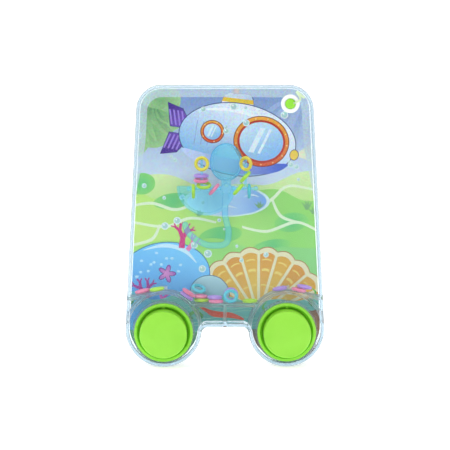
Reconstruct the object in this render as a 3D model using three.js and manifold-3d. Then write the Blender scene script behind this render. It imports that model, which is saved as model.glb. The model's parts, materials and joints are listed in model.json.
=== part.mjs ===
// A handheld water game: a clear tank that stands on two round feet, with a pump button in each foot.
// A tinted figure inside carries pegs, and small rings lie on the tank floor and hang on the pegs.
// Millimetres, +Z up, front towards -Y. The origin is under the middle of the whole object.
import * as THREE from 'three';
import { mergeVertices } from 'three/addons/utils/BufferGeometryUtils.js';
import Module from 'manifold-3d';

const wasm = await Module();
wasm.setup();

// Outline of the case, seen from the front
const caseHeight = 130;
const footRadius = 17.6;
const footSpacing = 56.7;
const sideLean = THREE.MathUtils.degToRad(3.1);
const topCornerRadius = 11.5;
const gapTop = 18.4;
const gapFillet = 3;

// Walls and layers, front to back
const frontWall = 1.8;
const sideWall = 1.5;
const waterDepth = 12.8;
const backPlate = 1.5;
const cardThickness = 0.4;
const rearCoverThickness = 1.6;
const frontEdgeRadius = 1.5;
const rearEdgeRadius = 0.9;
const fitGap = 0.2;
const seatGap = 0.1;

// Tank floor
const floorThickness = 1.5;
const shelfTop = 29.3;
const outerSlope = THREE.MathUtils.degToRad(12);
const dividerThickness = 1.4;
const spoutWidth = 3.4;
const spoutDepth = 3.2;
const spoutRise = 1.4;
const spoutSlot = 1.2;

// Pump buttons
const bellowsRoom = 0.55;
const buttonDrop = 1.2;
const capTravel = 5;
const capPressedProud = 3;
const capDome = 0.5;
const domeMidShare = 0.5;
const capEdge = 1.3;
const capWall = 1.2;
const capRunning = 0.25;
const capLip = 0.8;
const capLipThickness = 0.7;
const capPostRadius = 2.4;
const stopGap = 0.1;
const ringFlangeProud = 1.6;
const ringTubeWall = 0.9;
const ringTubeDepth = 1.2;
const ringLipWidth = 1;
const ringGrooveWidth = 1.45;
const ringLipChamfer = 0.4;
const ringGrooveDepth = 2.2;
const holeGap = 0.1;
const bellowsWall = 0.7;
const bellowsRim = 1.7;
const bellowsFold = 1.4;

// Filling hole
const plugPastCorner = 0.6;
const plugBelowTop = 8.6;
const plugHeadRadius = 2.3;
const plugHeadThickness = 1;
const plugRecess = 0.73;
const plugStemRadius = 1.6;
const plugStemLength = 4.6;
const plugTip = 0.5;
const plugRunning = 0.15;
const socketFlangeRadius = 4.25;
const socketFlangeThickness = 1.1;
const socketChamfer = 0.55;
const socketWall = 1.1;
const socketDepth = 2.6;

// Rings
const ringOuterRadius = 3.5;
const ringSection = 0.8;
const ringGap = 0.15;
const ringTilt = THREE.MathUtils.degToRad(48);
const tiltedSpare = 1.75;

// Peg figure
const figureX = 0.7;
const hubZ = 82.2;
const hubRadius = 2.4;
const hubProud = 1.2;
const starTips = 5;
const starRadius = 3.4;
const starInnerRadius = 1.7;
const starThickness = 1.4;
const armRadius = 0.65;
const leftArmSpare = 2.4;
const rightArmSpare = 4.7;
const armKnobRadius = 1.1;
const leftPegX = -10.6;
const rightPegRoom = 3;
const pegSpare = 7.1;
const nibDrop = 1.4;
const nibLength = 2.9;
const bulbAboveHub = 11.9;
const bulbHalfWidth = 7.6;
const bulbHalfHeight = 8.9;
const bulbDepth = 5.5;
const bulbWall = 1.2;
const neckWidth = 4.4;
const bowlX = -8.6;
const bowlAboveHub = 0.9;
const bowlRadius = 13.5;
const bowlRim = 1.2;
const bowlRimDepth = 2.8;
const webThickness = 1.4;
const bowlRibs = 5;
const bowlRibWidth = 0.9;
const bowlRibDepth = 2;
const hookRadius = 1.6;
const hookShares = [
  [0, 1], [-0.03, 0.57], [0.01, 0.4], [0.05, 0.28], [0.052, 0.17], [0.02, 0.06], [-0.09, 0.005],
  [-0.26, -0.005], [-0.46, 0.005], [-0.67, 0.07], [-0.83, 0.155], [-0.94, 0.24], [-1, 0.36],
];
const hookReach = 19;
const hookAboveShelf = 26.3;

// Each cut runs past its piece by this much, and corners closer than this are one
const overrun = 1;
const mergeDistance = 1e-4;

// Facet counts
const footSteps = 11;
const cornerSteps = 9;
const filletSteps = 4;
const bevelSteps = 3;
const roundSides = 32;
const smallSides = 14;
const rodSides = 10;
const tubeSides = 8;
const knobSides = 10;
const hookSteps = 30;
const ringSides = 6;
const ringSteps = 14;
const floorSamples = 14;

// Layers that follow from the sizes above
const layerSum = frontWall + waterDepth + backPlate + cardThickness + 2 * seatGap;
const caseDepth = layerSum + rearCoverThickness;
const capProud = capTravel + capPressedProud;
const proudest = capProud + capDome;
const frontY = proudest - (caseDepth + proudest) / 2;
const waterFront = frontY + frontWall;
const waterBack = waterFront + waterDepth;
const plateBack = waterBack + backPlate;
const cardFront = plateBack + seatGap;
const wallEnd = frontY + layerSum;
const rearY = frontY + caseDepth;

const footX = footSpacing / 2;
const footZ = footRadius;
const buttonZ = footZ - buttonDrop;
const cornerZ = caseHeight - topCornerRadius;
const cornerFall = (cornerZ - footZ) * Math.sin(sideLean);
const cornerX = footX + (footRadius - topCornerRadius - cornerFall) / Math.cos(sideLean);
const plugX = cornerX + plugPastCorner;
const plugZ = caseHeight - plugBelowTop;
const filletZ = gapTop - gapFillet;
const filletX = footX - Math.sqrt((footRadius + gapFillet) ** 2 - (footZ - filletZ) ** 2);
const chamberRadius = footRadius - sideWall;
const floorRadius = chamberRadius + floorThickness;
const tankHalfWidth = footX + footRadius - sideWall;
const bellowsRadius = chamberRadius - buttonDrop - bellowsRoom;
const capRadius = bellowsRadius - bellowsRim - capLip - holeGap - ringTubeWall;
const ringBore = capRadius + capRunning;
const ringTubeRadius = ringBore + ringTubeWall;
const ringFlangeRadius = ringBore + ringGrooveWidth + ringLipWidth;
const holeRadius = ringTubeRadius + holeGap;
const ringTubeEnd = frontWall + ringTubeDepth;
const socketBore = plugStemRadius + plugRunning;
const socketTubeRadius = socketBore + socketWall;
const ringCentreRadius = ringOuterRadius - ringSection;
const ringPitch = 2 * ringSection + ringGap;
const tiltedHalfSpan = ringCentreRadius * Math.cos(ringTilt) + ringSection;
const tiltedRise = ringCentreRadius * Math.sin(ringTilt);

// The figure's arms are as far in front of its bowl as a ring needs
const figureBack = waterBack - seatGap;
const pegY = figureBack - bowlRimDepth - ringOuterRadius - ringGap;
const leftEndX = leftPegX - ringOuterRadius - leftArmSpare;
const rightPegX = figureX + rightPegRoom + 2 * tiltedHalfSpan + armRadius;
const rightEndX = rightPegX + rightArmSpare;
const pegTop = hubZ + 2 * ringOuterRadius + pegSpare;
const nibZ = pegTop - nibDrop;
const bulbZ = hubZ + bulbAboveHub;
const bowlZ = hubZ + bowlAboveHub;
const hookBaseZ = shelfTop + hookAboveShelf;
const hookHeight = hubZ - hookBaseZ;

// A closed geometry as a solid that can be joined and cut
function solid(geometry) {
  const bare = geometry.index ? geometry.toNonIndexed() : geometry.clone();
  bare.deleteAttribute('normal');
  bare.deleteAttribute('uv');
  const merged = mergeVertices(bare, mergeDistance);
  const mesh = new wasm.Mesh({
    numProp: 3,
    vertProperties: merged.attributes.position.array,
    triVerts: new Uint32Array(merged.index.array),
  });
  return new wasm.Manifold(mesh);
}

// A solid back as a geometry with flat faces
function geometryOf(body) {
  const made = body.getMesh();
  const positions = new Float32Array(made.numVert * 3);
  for (let i = 0; i < made.numVert; i++) {
    const start = i * made.numProp;
    positions.set(made.vertProperties.subarray(start, start + 3), i * 3);
  }
  const geometry = new THREE.BufferGeometry();
  geometry.setAttribute('position', new THREE.BufferAttribute(positions, 3));
  geometry.setIndex(new THREE.BufferAttribute(made.triVerts, 1));
  const flat = geometry.toNonIndexed();
  flat.computeVertexNormals();
  return flat;
}

function arcPoints(x, z, radius, from, to, steps) {
  const points = [];
  for (let i = 0; i <= steps; i++) {
    const angle = from + ((to - from) * i) / steps;
    points.push(new THREE.Vector2(x + radius * Math.cos(angle), z + radius * Math.sin(angle)));
  }
  return points;
}

// The case outline, drawn inwards by an inset: every arc keeps its centre
function caseOutline(inset) {
  const towardsFoot = Math.atan2(footZ - filletZ, footX - filletX);
  const towardsFillet = towardsFoot - Math.PI;
  const under = -Math.PI / 2;
  const right = [
    ...arcPoints(filletX, filletZ, gapFillet + inset, Math.PI / 2, towardsFoot, filletSteps),
    ...arcPoints(footX, footZ, footRadius - inset, towardsFillet, under, footSteps).slice(1),
    ...arcPoints(footX, footZ, footRadius - inset, under, sideLean, footSteps).slice(1),
    ...arcPoints(cornerX, cornerZ, topCornerRadius - inset, sideLean, Math.PI / 2, cornerSteps),
  ];
  const left = right.map((p) => new THREE.Vector2(-p.x, p.y)).reverse();
  return new THREE.Shape([...right, ...left]);
}

// A shape in the front view, made solid from one depth to another
function slab(shape, fromY, toY, bevel = 0) {
  const geometry = new THREE.ExtrudeGeometry(shape, {
    depth: toY - fromY - 2 * bevel,
    bevelEnabled: bevel > 0,
    bevelThickness: bevel,
    bevelSize: bevel,
    bevelOffset: -bevel,
    bevelSegments: bevelSteps,
    curveSegments: smallSides,
  });
  geometry.rotateX(Math.PI / 2);
  geometry.translate(0, toY - bevel, 0);
  return solid(geometry);
}

function block(fromX, toX, fromY, toY, fromZ, toZ) {
  const geometry = new THREE.BoxGeometry(toX - fromX, toY - fromY, toZ - fromZ);
  geometry.translate((fromX + toX) / 2, (fromY + toY) / 2, (fromZ + toZ) / 2);
  return solid(geometry);
}

// A round bar along Y
function barY(x, z, radius, fromY, toY, sides = roundSides) {
  const geometry = new THREE.CylinderGeometry(radius, radius, toY - fromY, sides);
  geometry.translate(x, (fromY + toY) / 2, z);
  return solid(geometry);
}

// A profile of [radius, y] points turned about the Y axis
function turned(profile, sides = roundSides) {
  const points = profile.map(([radius, y]) => new THREE.Vector2(radius, y));
  return new THREE.LatheGeometry(points, sides);
}

function plastic(color, roughness, opacity = 1) {
  return new THREE.MeshStandardMaterial({
    color,
    roughness,
    metalness: 0,
    transparent: opacity < 1,
    opacity,
  });
}

const clearPlastic = plastic(0xe9f3f2, 0.06, 0.25);
const coverPlastic = plastic(0xe4efee, 0.1, 0.35);
const limePlastic = plastic(0x9cf542, 0.38);
const whitePlastic = plastic(0xf4f6f2, 0.35);
const softRubber = plastic(0xdfe9dc, 0.55, 0.7);
const figurePlastic = plastic(0x4fc8e8, 0.12, 0.5);
const cardBoard = plastic(0xbfdc8a, 0.75);
const ringPlastics = {
  pink: plastic(0xf58fbe, 0.35),
  lime: plastic(0xb5f02e, 0.35),
  purple: plastic(0xb98be6, 0.35),
  cyan: plastic(0x4fd3e6, 0.35),
  yellow: plastic(0xeee544, 0.35),
};

const game = new THREE.Group();

function addPiece(name, geometry, material, x = 0, y = 0, z = 0) {
  const mesh = new THREE.Mesh(geometry, material);
  mesh.name = name;
  mesh.position.set(x, y, z);
  game.add(mesh);
  return mesh;
}

// Round pump chamber wall about a foot, the sloping floor outside it and the notched spout on top
function chamberFloor(side) {
  const toY = waterBack - seatGap;
  const fromY = waterFront - seatGap;
  const tangentX = side * (footX + floorRadius * Math.sin(outerSlope));
  const tangentZ = footZ + floorRadius * Math.cos(outerSlope);
  const across = side * tankHalfWidth * Math.cos(outerSlope);
  const fall = tankHalfWidth * Math.sin(outerSlope);
  const drop = floorThickness / Math.cos(outerSlope);
  const slope = new THREE.Shape([
    new THREE.Vector2(tangentX, tangentZ),
    new THREE.Vector2(tangentX + across, tangentZ - fall),
    new THREE.Vector2(tangentX + across, tangentZ - fall - drop),
    new THREE.Vector2(tangentX, tangentZ - drop),
  ]);
  const spoutTop = footZ + floorRadius + spoutRise;
  const spoutFoot = footZ + chamberRadius + seatGap;
  const spoutX = side * footX;
  return barY(side * footX, footZ, floorRadius, fromY, toY)
    .add(slab(slope, fromY, toY))
    .add(block(spoutX - spoutWidth / 2, spoutX + spoutWidth / 2,
      toY - spoutDepth, toY, spoutFoot, spoutTop))
    .subtract(barY(side * footX, footZ, chamberRadius, fromY - overrun, toY + overrun))
    .subtract(block(spoutX - spoutSlot / 2, spoutX + spoutSlot / 2,
      toY - spoutDepth / 2, toY + overrun, spoutFoot - overrun, spoutTop + overrun));
}

function frontShell() {
  const boxFront = slab(caseOutline(0), frontY, wallEnd + 2 * frontEdgeRadius, frontEdgeRadius);
  const reach = caseHeight + overrun;
  const behind = block(-reach, reach, wallEnd, wallEnd + reach, -reach, reach);
  const hollow = slab(caseOutline(sideWall), waterFront, wallEnd + overrun);
  const inside = slab(caseOutline(sideWall / 2), frontY + frontWall / 2, wallEnd + overrun);
  const shelfEnd = footX - chamberRadius;
  const floorBack = waterBack - seatGap;
  const floorFront = waterFront - seatGap;
  const shelf = block(-shelfEnd, shelfEnd, floorFront, floorBack, shelfTop - floorThickness, shelfTop);
  const divider = block(-dividerThickness / 2, dividerThickness / 2, floorFront, floorBack,
    gapTop + sideWall / 2, shelfTop - floorThickness / 2);
  const chambers = barY(footX, footZ, chamberRadius, floorFront - overrun, floorBack + overrun)
    .add(barY(-footX, footZ, chamberRadius, floorFront - overrun, floorBack + overrun));
  const floor = chamberFloor(1).add(chamberFloor(-1)).add(shelf.subtract(chambers)).add(divider);
  const cutFrom = frontY - overrun;
  const cutTo = waterFront + overrun;
  return boxFront
    .subtract(behind)
    .subtract(hollow)
    .add(floor.intersect(inside))
    .subtract(barY(footX, buttonZ, holeRadius, cutFrom, cutTo))
    .subtract(barY(-footX, buttonZ, holeRadius, cutFrom, cutTo))
    .subtract(barY(plugX, plugZ, socketTubeRadius + holeGap, cutFrom, cutTo, 2 * smallSides));
}

function rearCover() {
  const plate = slab(caseOutline(0), wallEnd - 2 * rearEdgeRadius, rearY, rearEdgeRadius);
  const reach = caseHeight + overrun;
  return plate.subtract(block(-reach, reach, wallEnd - reach, wallEnd, -reach, reach));
}

// Lime collar that lines each button hole, with a raised lip and a groove that slopes down to the cap
function buttonRing() {
  return turned([
    [ringBore, ringTubeEnd],
    [ringBore, ringGrooveDepth - ringFlangeProud],
    [ringFlangeRadius - ringLipWidth, -ringFlangeProud],
    [ringFlangeRadius - ringLipChamfer, -ringFlangeProud],
    [ringFlangeRadius, -ringFlangeProud + ringLipChamfer],
    [ringFlangeRadius, 0],
    [ringTubeRadius, 0],
    [ringTubeRadius, ringTubeEnd],
    [ringBore, ringTubeEnd],
  ]);
}

// Hollow push cap with a centre post, and a lip behind the collar that stops it from coming out
function buttonCap() {
  const lipFront = ringTubeEnd + stopGap;
  const lipBack = lipFront + capLipThickness;
  const roof = capWall - capProud;
  const edge = arcPoints(capRadius - capEdge, -capProud + capEdge, capEdge, -Math.PI / 2, 0, bevelSteps);
  return turned([
    [0, lipBack],
    [capPostRadius, lipBack],
    [capPostRadius, roof],
    [capRadius - capWall, roof],
    [capRadius - capWall, lipBack],
    [capRadius + capLip, lipBack],
    [capRadius + capLip, lipFront],
    [capRadius, lipFront],
    ...edge.reverse().map((p) => [p.x, p.y]),
    [capRadius * domeMidShare, -capProud - capDome * (1 - domeMidShare ** 2)],
    [0, -capProud - capDome],
  ].reverse());
}

// Soft seal behind the cap: a rim on the front wall, one fold, and a flat middle under the cap's post
function bellows() {
  const rimInner = bellowsRadius - bellowsRim;
  const web = ringTubeEnd + stopGap + capLipThickness + ringGap;
  const foldRadius = (capRadius + capPostRadius) / 2;
  return turned([
    [0, web],
    [capPostRadius, web],
    [foldRadius, web + bellowsFold],
    [capRadius, web],
    [rimInner, web],
    [rimInner, frontWall + seatGap],
    [bellowsRadius, frontWall + seatGap],
    [bellowsRadius, web + bellowsWall],
    [capRadius, web + bellowsWall],
    [foldRadius, web + bellowsWall + bellowsFold],
    [capPostRadius, web + bellowsWall],
    [0, web + bellowsWall],
  ]);
}

function fillSocket() {
  const headBore = plugHeadRadius + plugRunning;
  const headSeat = plugRecess - socketFlangeThickness;
  return turned([
    [socketBore, frontWall + socketDepth],
    [socketBore, headSeat],
    [headBore, headSeat],
    [headBore, -socketFlangeThickness],
    [socketFlangeRadius - socketChamfer, -socketFlangeThickness],
    [socketFlangeRadius, socketChamfer - socketFlangeThickness],
    [socketFlangeRadius, 0],
    [socketTubeRadius, 0],
    [socketTubeRadius, frontWall + socketDepth],
    [socketBore, frontWall + socketDepth],
  ], 2 * smallSides);
}

function fillPlug() {
  const headBack = plugRecess - socketFlangeThickness - stopGap;
  return turned([
    [0, headBack - plugHeadThickness],
    [plugHeadRadius - plugTip, headBack - plugHeadThickness],
    [plugHeadRadius, headBack - plugHeadThickness + plugTip],
    [plugHeadRadius, headBack],
    [plugStemRadius, headBack],
    [plugStemRadius, headBack + plugStemLength - plugTip],
    [plugStemRadius - plugTip, headBack + plugStemLength],
    [0, headBack + plugStemLength],
  ], 2 * smallSides);
}

function ball(x, y, z, radiusX, radiusY, radiusZ, sides = knobSides) {
  const geometry = new THREE.SphereGeometry(1, sides, sides / 2);
  geometry.rotateX(Math.PI / 2);
  geometry.scale(radiusX, radiusY, radiusZ);
  geometry.translate(x, y, z);
  return solid(geometry);
}

function rod(from, to, radius) {
  const path = new THREE.LineCurve3(new THREE.Vector3(...from), new THREE.Vector3(...to));
  return tube(path, radius, 1, rodSides);
}

function tube(path, radius, steps, sides) {
  const section = new THREE.Shape(arcPoints(0, 0, radius, 0, 2 * Math.PI, sides).slice(0, -1));
  return solid(new THREE.ExtrudeGeometry(section, { steps, extrudePath: path, bevelEnabled: false }));
}

function starShape(x, z) {
  const points = [];
  for (let i = 0; i < 2 * starTips; i++) {
    const angle = Math.PI / 2 + (i * Math.PI) / starTips;
    const radius = i % 2 ? starInnerRadius : starRadius;
    points.push(new THREE.Vector2(x + radius * Math.cos(angle), z + radius * Math.sin(angle)));
  }
  return new THREE.Shape(points);
}

// Scallop bowl at the back of the figure: a web with a rim and ribs that spread from its top middle
function figureBowl() {
  const outer = new THREE.Shape(arcPoints(bowlX, bowlZ, bowlRadius, Math.PI, 2 * Math.PI, 2 * footSteps));
  const innerEdge = arcPoints(bowlX, bowlZ, bowlRadius - bowlRim, Math.PI, 2 * Math.PI, 2 * footSteps);
  const rimShape = new THREE.Shape([...outer.getPoints(), ...innerEdge.reverse()]);
  let bowl = slab(outer, figureBack - webThickness, figureBack)
    .add(slab(rimShape, figureBack - bowlRimDepth, figureBack));
  for (let i = 1; i <= bowlRibs; i++) {
    const angle = Math.PI + (i * Math.PI) / (bowlRibs + 1);
    const length = bowlRadius - bowlRim / 2;
    const rib = new THREE.BoxGeometry(length, bowlRibDepth, bowlRibWidth);
    rib.translate(length / 2, figureBack - bowlRibDepth / 2, 0);
    rib.rotateY(-angle);
    rib.translate(bowlX, 0, bowlZ - bowlRibWidth / 2);
    bowl = bowl.add(solid(rib));
  }
  return bowl;
}

// Hollow egg-shaped dome, open towards the back plate, on a flat neck that joins it to the hub
function figureBulb() {
  const outer = ball(figureX, figureBack, bulbZ, bulbHalfWidth, bulbDepth, bulbHalfHeight, 2 * smallSides);
  const inner = ball(figureX, figureBack, bulbZ, bulbHalfWidth - bulbWall, bulbDepth - bulbWall,
    bulbHalfHeight - bulbWall, 2 * smallSides);
  const reach = bulbHalfHeight + overrun;
  const behind = block(figureX - reach, figureX + reach, figureBack, figureBack + reach,
    bulbZ - reach, bulbZ + reach);
  const neck = block(figureX - neckWidth / 2, figureX + neckWidth / 2, figureBack - webThickness, figureBack,
    hubZ, bulbZ - bulbHalfHeight + bulbWall);
  return outer.subtract(inner).subtract(behind).add(neck);
}

// Stem that runs down from the hub and curves up again into an open hook with a round tip
function figureHook() {
  const y = figureBack - hookRadius - seatGap;
  const points = hookShares.map(([acrossShare, upShare]) => new THREE.Vector3(
    figureX + hookReach * acrossShare, y, hookBaseZ + hookHeight * upShare));
  const path = new THREE.CatmullRomCurve3(points);
  const end = points[points.length - 1];
  return tube(path, hookRadius, hookSteps, tubeSides)
    .add(ball(end.x, y, end.z, hookRadius, hookRadius, hookRadius, rodSides));
}

// Cross arms on a hub, an upright peg on each arm and a nib that points forwards from each peg
function figureArms() {
  const hubFront = pegY - hubProud;
  let arms = barY(figureX, hubZ, hubRadius, hubFront, figureBack, smallSides)
    .add(slab(starShape(figureX, hubZ), hubFront - starThickness, pegY))
    .add(rod([leftEndX, pegY, hubZ], [rightEndX, pegY, hubZ], armRadius))
    .add(ball(leftEndX, pegY, hubZ, armKnobRadius, armKnobRadius, armKnobRadius))
    .add(ball(rightEndX, pegY, hubZ, armKnobRadius, armKnobRadius, armKnobRadius));
  for (const x of [leftPegX, rightPegX]) {
    arms = arms
      .add(rod([x, pegY, hubZ], [x, pegY, pegTop], armRadius))
      .add(ball(x, pegY, pegTop, armRadius, armRadius, armRadius, rodSides))
      .add(rod([x, pegY, nibZ], [x, pegY - nibLength, nibZ], armRadius))
      .add(ball(x, pegY - nibLength, nibZ, armRadius, armRadius, armRadius, rodSides));
  }
  return arms;
}

function pegFigure() {
  return figureBowl().add(figureBulb()).add(figureHook()).add(figureArms());
}

// Height of the tank floor's upper surface at a place across the tank
function floorAt(x) {
  const fromFoot = Math.abs(x) - footX;
  const slopeStart = floorRadius * Math.sin(outerSlope);
  if (fromFoot > slopeStart) {
    return footZ + floorRadius * Math.cos(outerSlope) - (fromFoot - slopeStart) * Math.tan(outerSlope);
  }
  const arcZ = footZ + Math.sqrt(Math.max(floorRadius ** 2 - fromFoot ** 2, 0));
  return Math.max(arcZ, shelfTop);
}

// How a flat ring rests on the floor: its slope, and the height of its underside below its centre
function restAt(x) {
  const rise = floorAt(x + ringOuterRadius) - floorAt(x - ringOuterRadius);
  const slope = Math.atan2(rise, 2 * ringOuterRadius);
  let z = 0;
  for (let i = 0; i <= floorSamples; i++) {
    const across = ringOuterRadius * ((2 * i) / floorSamples - 1);
    z = Math.max(z, floorAt(x + across) - across * Math.tan(slope));
  }
  return { z, slope };
}

const ringGeometry = new THREE.TorusGeometry(ringCentreRadius, ringSection, ringSides, ringSteps);
let ringCount = 0;

// A ring by its centre, its slope as seen from the front, its lean towards the viewer and its turn about Z
function addRing(colour, x, y, z, slope, lean, turn = 0) {
  ringCount += 1;
  const name = `ring_${String(ringCount).padStart(2, '0')}`;
  const ring = addPiece(name, ringGeometry, ringPlastics[colour], x, y, z);
  ring.rotation.set(lean, -slope, turn, 'ZYX');
}

// Rings on the tank floor: [colour, share of the half width, ring radii further right, share of the free
// depth, layers beneath, lean in degrees, slope in degrees on top of the floor's own]
const floorRingShares = [
  ['pink', -1, 1.88, 0.97, 0, 0, 0],
  ['lime', -0.9, 2.5, 0, 0, 0, 0],
  ['purple', -0.12, -3.66, 0.02, 0, 0, 0],
  ['pink', -0.12, -3.66, 0.02, 1, 0, 0],
  ['lime', 0, -3.1, 0.95, 0, 0, 0],
  ['pink', 0, -3.25, 0.95, 1, 0, -3],
  ['cyan', 0, -3.9, 0.98, 2, 24, 0],
  ['pink', 0, -1.2, 0.25, 0, 0, 0],
  ['purple', 0, -1.35, 0.25, 1, 0, 0],
  ['cyan', 0, 0.75, 0.1, 0, 62, 0],
  ['purple', 0, 0.8, 0.9, 0, 76, 0],
  ['lime', 0, 3.33, 0.4, 0, 0, 0],
  ['purple', 1, -5.4, 0.3, 0, 0, 0],
  ['pink', 1, -2.98, 0.25, 0, 0, 0],
  ['purple', 1, -2.35, 0.5, 1, 0, 2],
];

function addFloorRings() {
  const freeFront = waterFront + ringOuterRadius + seatGap;
  const freeDepth = waterDepth - 2 * (ringOuterRadius + seatGap);
  for (const row of floorRingShares) {
    const [colour, widthShare, radiiShare, depthShare, layers, leanDegrees, slopeDegrees] = row;
    const lean = THREE.MathUtils.degToRad(leanDegrees);
    const x = tankHalfWidth * widthShare + ringOuterRadius * radiiShare;
    const rest = restAt(x);
    const rise = ringGap + ringSection + ringCentreRadius * Math.sin(lean) + layers * ringPitch;
    const slope = rest.slope + THREE.MathUtils.degToRad(slopeDegrees);
    addRing(colour, x - rise * Math.sin(rest.slope), freeFront + freeDepth * depthShare,
      rest.z + rise * Math.cos(rest.slope), slope, lean);
  }
}

// Rings on the pegs. The stack on the left peg has a place for each ring: [colour, share of the slack
// in its bore, share of the pitch above the arm, share of the lean]
const stackShares = [
  ['lime', 0.9, 0, 1],
  ['pink', -0.3, 1.32, 0.5],
  ['purple', -0.2, 2.52, 0.25],
];
const stackLean = THREE.MathUtils.degToRad(22);
const nibTurn = THREE.MathUtils.degToRad(-36);
const nibRestShare = 0.72;
const tiltDropShare = 0.25;
const tiltShiftShare = 0.17;

// A hung ring's bore rests on the bar that it hangs from
function addPegRings() {
  const quarter = Math.PI / 2;
  const hang = ringCentreRadius - ringSection - armRadius - ringGap;
  const onArm = hubZ + armRadius + ringSection + ringGap;
  const tiltedZ = hubZ - hang * tiltDropShare;
  const besideKnob = leftEndX + armKnobRadius + ringSection + ringGap;
  const besidePeg = rightPegX + armRadius + ringSection + ringGap;
  const nibY = pegY - nibLength * nibRestShare;
  for (const [colour, slackShare, pitchShare, leanShare] of stackShares) {
    addRing(colour, leftPegX + hang * slackShare, pegY, onArm + ringPitch * pitchShare, 0,
      stackLean * leanShare);
  }
  addRing('yellow', leftPegX, nibY, nibZ - hang, 0, quarter);
  addRing('lime', besideKnob, pegY, hubZ - hang, quarter, 0);
  addRing('pink', (leftPegX + figureX) / 2, pegY, tiltedZ, ringTilt, 0);
  addRing('lime', rightPegX - hang * tiltShiftShare, pegY,
    tiltedZ + 2 * tiltedRise + tiltedSpare, ringTilt, 0);
  addRing('lime', rightPegX - armRadius - ringGap - tiltedHalfSpan, pegY, tiltedZ, ringTilt, 0);
  addRing('cyan', besidePeg, pegY, hubZ - hang, quarter, 0);
  addRing('yellow', rightPegX, nibY, nibZ - hang, 0, quarter, nibTurn);
}

addPiece('front_shell', geometryOf(frontShell()), clearPlastic);
addPiece('tank_back', geometryOf(slab(caseOutline(sideWall + fitGap), waterBack, plateBack)), clearPlastic);
addPiece('picture_card', geometryOf(slab(caseOutline(sideWall + fitGap), cardFront,
  cardFront + cardThickness)), cardBoard);
addPiece('rear_cover', geometryOf(rearCover()), coverPlastic);
for (const [label, side] of [['left', -1], ['right', 1]]) {
  addPiece(`button_ring_${label}`, buttonRing(), limePlastic, side * footX, frontY, buttonZ);
  addPiece(`button_cap_${label}`, buttonCap(), limePlastic, side * footX, frontY, buttonZ);
  addPiece(`bellows_${label}`, bellows(), softRubber, side * footX, frontY, buttonZ);
}
addPiece('fill_socket', fillSocket(), whitePlastic, plugX, frontY, plugZ);
addPiece('fill_plug', fillPlug(), limePlastic, plugX, frontY, plugZ);
addPiece('peg_figure', geometryOf(pegFigure()), figurePlastic);
addFloorRings();
addPegRings();

export default game;
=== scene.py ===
# %% [markdown]
# # Dressing a handheld water game
#
# The model arrives as a fixed frame: every solid has its true size and place, in metres, +Z up and the
# front towards -Y. This lesson gives each of those solids its look. We start with the camera and the
# light, then build the clear case, the printed card, the buttons, the peg figure and the rings.

# %% Load the frame
import json
import math

import bmesh
import bpy
import numpy as np
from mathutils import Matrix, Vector
from mathutils.geometry import delaunay_2d_cdt

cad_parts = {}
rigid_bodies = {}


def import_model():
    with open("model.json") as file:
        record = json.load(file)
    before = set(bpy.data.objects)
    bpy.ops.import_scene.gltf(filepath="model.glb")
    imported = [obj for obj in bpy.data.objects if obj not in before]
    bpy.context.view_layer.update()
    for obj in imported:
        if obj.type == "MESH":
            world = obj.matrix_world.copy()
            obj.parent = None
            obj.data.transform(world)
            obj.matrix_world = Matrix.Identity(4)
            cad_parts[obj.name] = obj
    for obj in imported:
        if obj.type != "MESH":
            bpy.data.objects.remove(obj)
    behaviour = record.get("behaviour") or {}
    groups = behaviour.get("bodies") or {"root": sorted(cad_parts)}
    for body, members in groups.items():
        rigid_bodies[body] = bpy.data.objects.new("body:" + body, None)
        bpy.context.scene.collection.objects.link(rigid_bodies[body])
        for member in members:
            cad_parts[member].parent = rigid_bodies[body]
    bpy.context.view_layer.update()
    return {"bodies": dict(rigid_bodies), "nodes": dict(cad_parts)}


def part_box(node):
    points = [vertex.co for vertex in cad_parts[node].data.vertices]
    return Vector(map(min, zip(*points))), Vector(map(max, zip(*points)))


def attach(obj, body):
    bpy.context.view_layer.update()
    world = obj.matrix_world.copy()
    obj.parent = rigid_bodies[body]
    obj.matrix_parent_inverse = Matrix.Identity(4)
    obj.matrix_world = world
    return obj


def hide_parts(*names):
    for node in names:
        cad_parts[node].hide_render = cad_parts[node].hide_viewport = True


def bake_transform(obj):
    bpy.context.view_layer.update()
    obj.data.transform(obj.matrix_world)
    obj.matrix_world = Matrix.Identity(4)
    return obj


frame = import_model()
MM = 0.001


def mm(*lengths):
    """Lengths in millimetres as metres."""
    return [length * MM for length in lengths]


# %% [markdown]
# A few helpers come first. One of them fills in shader and geometry nodes. It takes plain values and the
# outputs of other nodes alike, so that a tree reads from its source to its end, without a list of links.

# %% Helpers for objects and nodes
def new_object(name, data):
    """Links a mesh, curve, lamp or camera to the scene under a name."""
    thing = bpy.data.objects.new(name, data)
    bpy.context.scene.collection.objects.link(thing)
    return thing


def aim(thing, place, target):
    """Puts a camera or a lamp at a place and points it at a target."""
    thing.location = place
    thing.rotation_euler = (Vector(target) - Vector(place)).to_track_quat("-Z", "Y").to_euler()


def baked(thing):
    """The mesh that an object has once its modifiers have run."""
    return bpy.data.meshes.new_from_object(thing.evaluated_get(bpy.context.evaluated_depsgraph_get()))


def fill(node, *plugs, **values):
    """Fills in a node: values are its settings or its inputs by name, plugs its inputs in their order. A
    socket is linked, a node is linked by its first output, and None leaves an input alone."""
    for key, value in [*values.items(), *enumerate(plugs)]:
        if isinstance(key, str) and hasattr(node, key):
            setattr(node, key, value)
            continue
        socket = node.inputs[key.replace("_", " ") if isinstance(key, str) else key]
        if isinstance(value, bpy.types.Node):
            value = value.outputs[0]
        if isinstance(value, bpy.types.NodeSocket):
            node.id_data.links.new(value, socket)
        elif value is not None:
            socket.default_value = value
    return node


def add_node(tree, kind, *plugs, **values):
    """A new node, filled in."""
    return fill(tree.nodes.new(kind), *plugs, **values)


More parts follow.
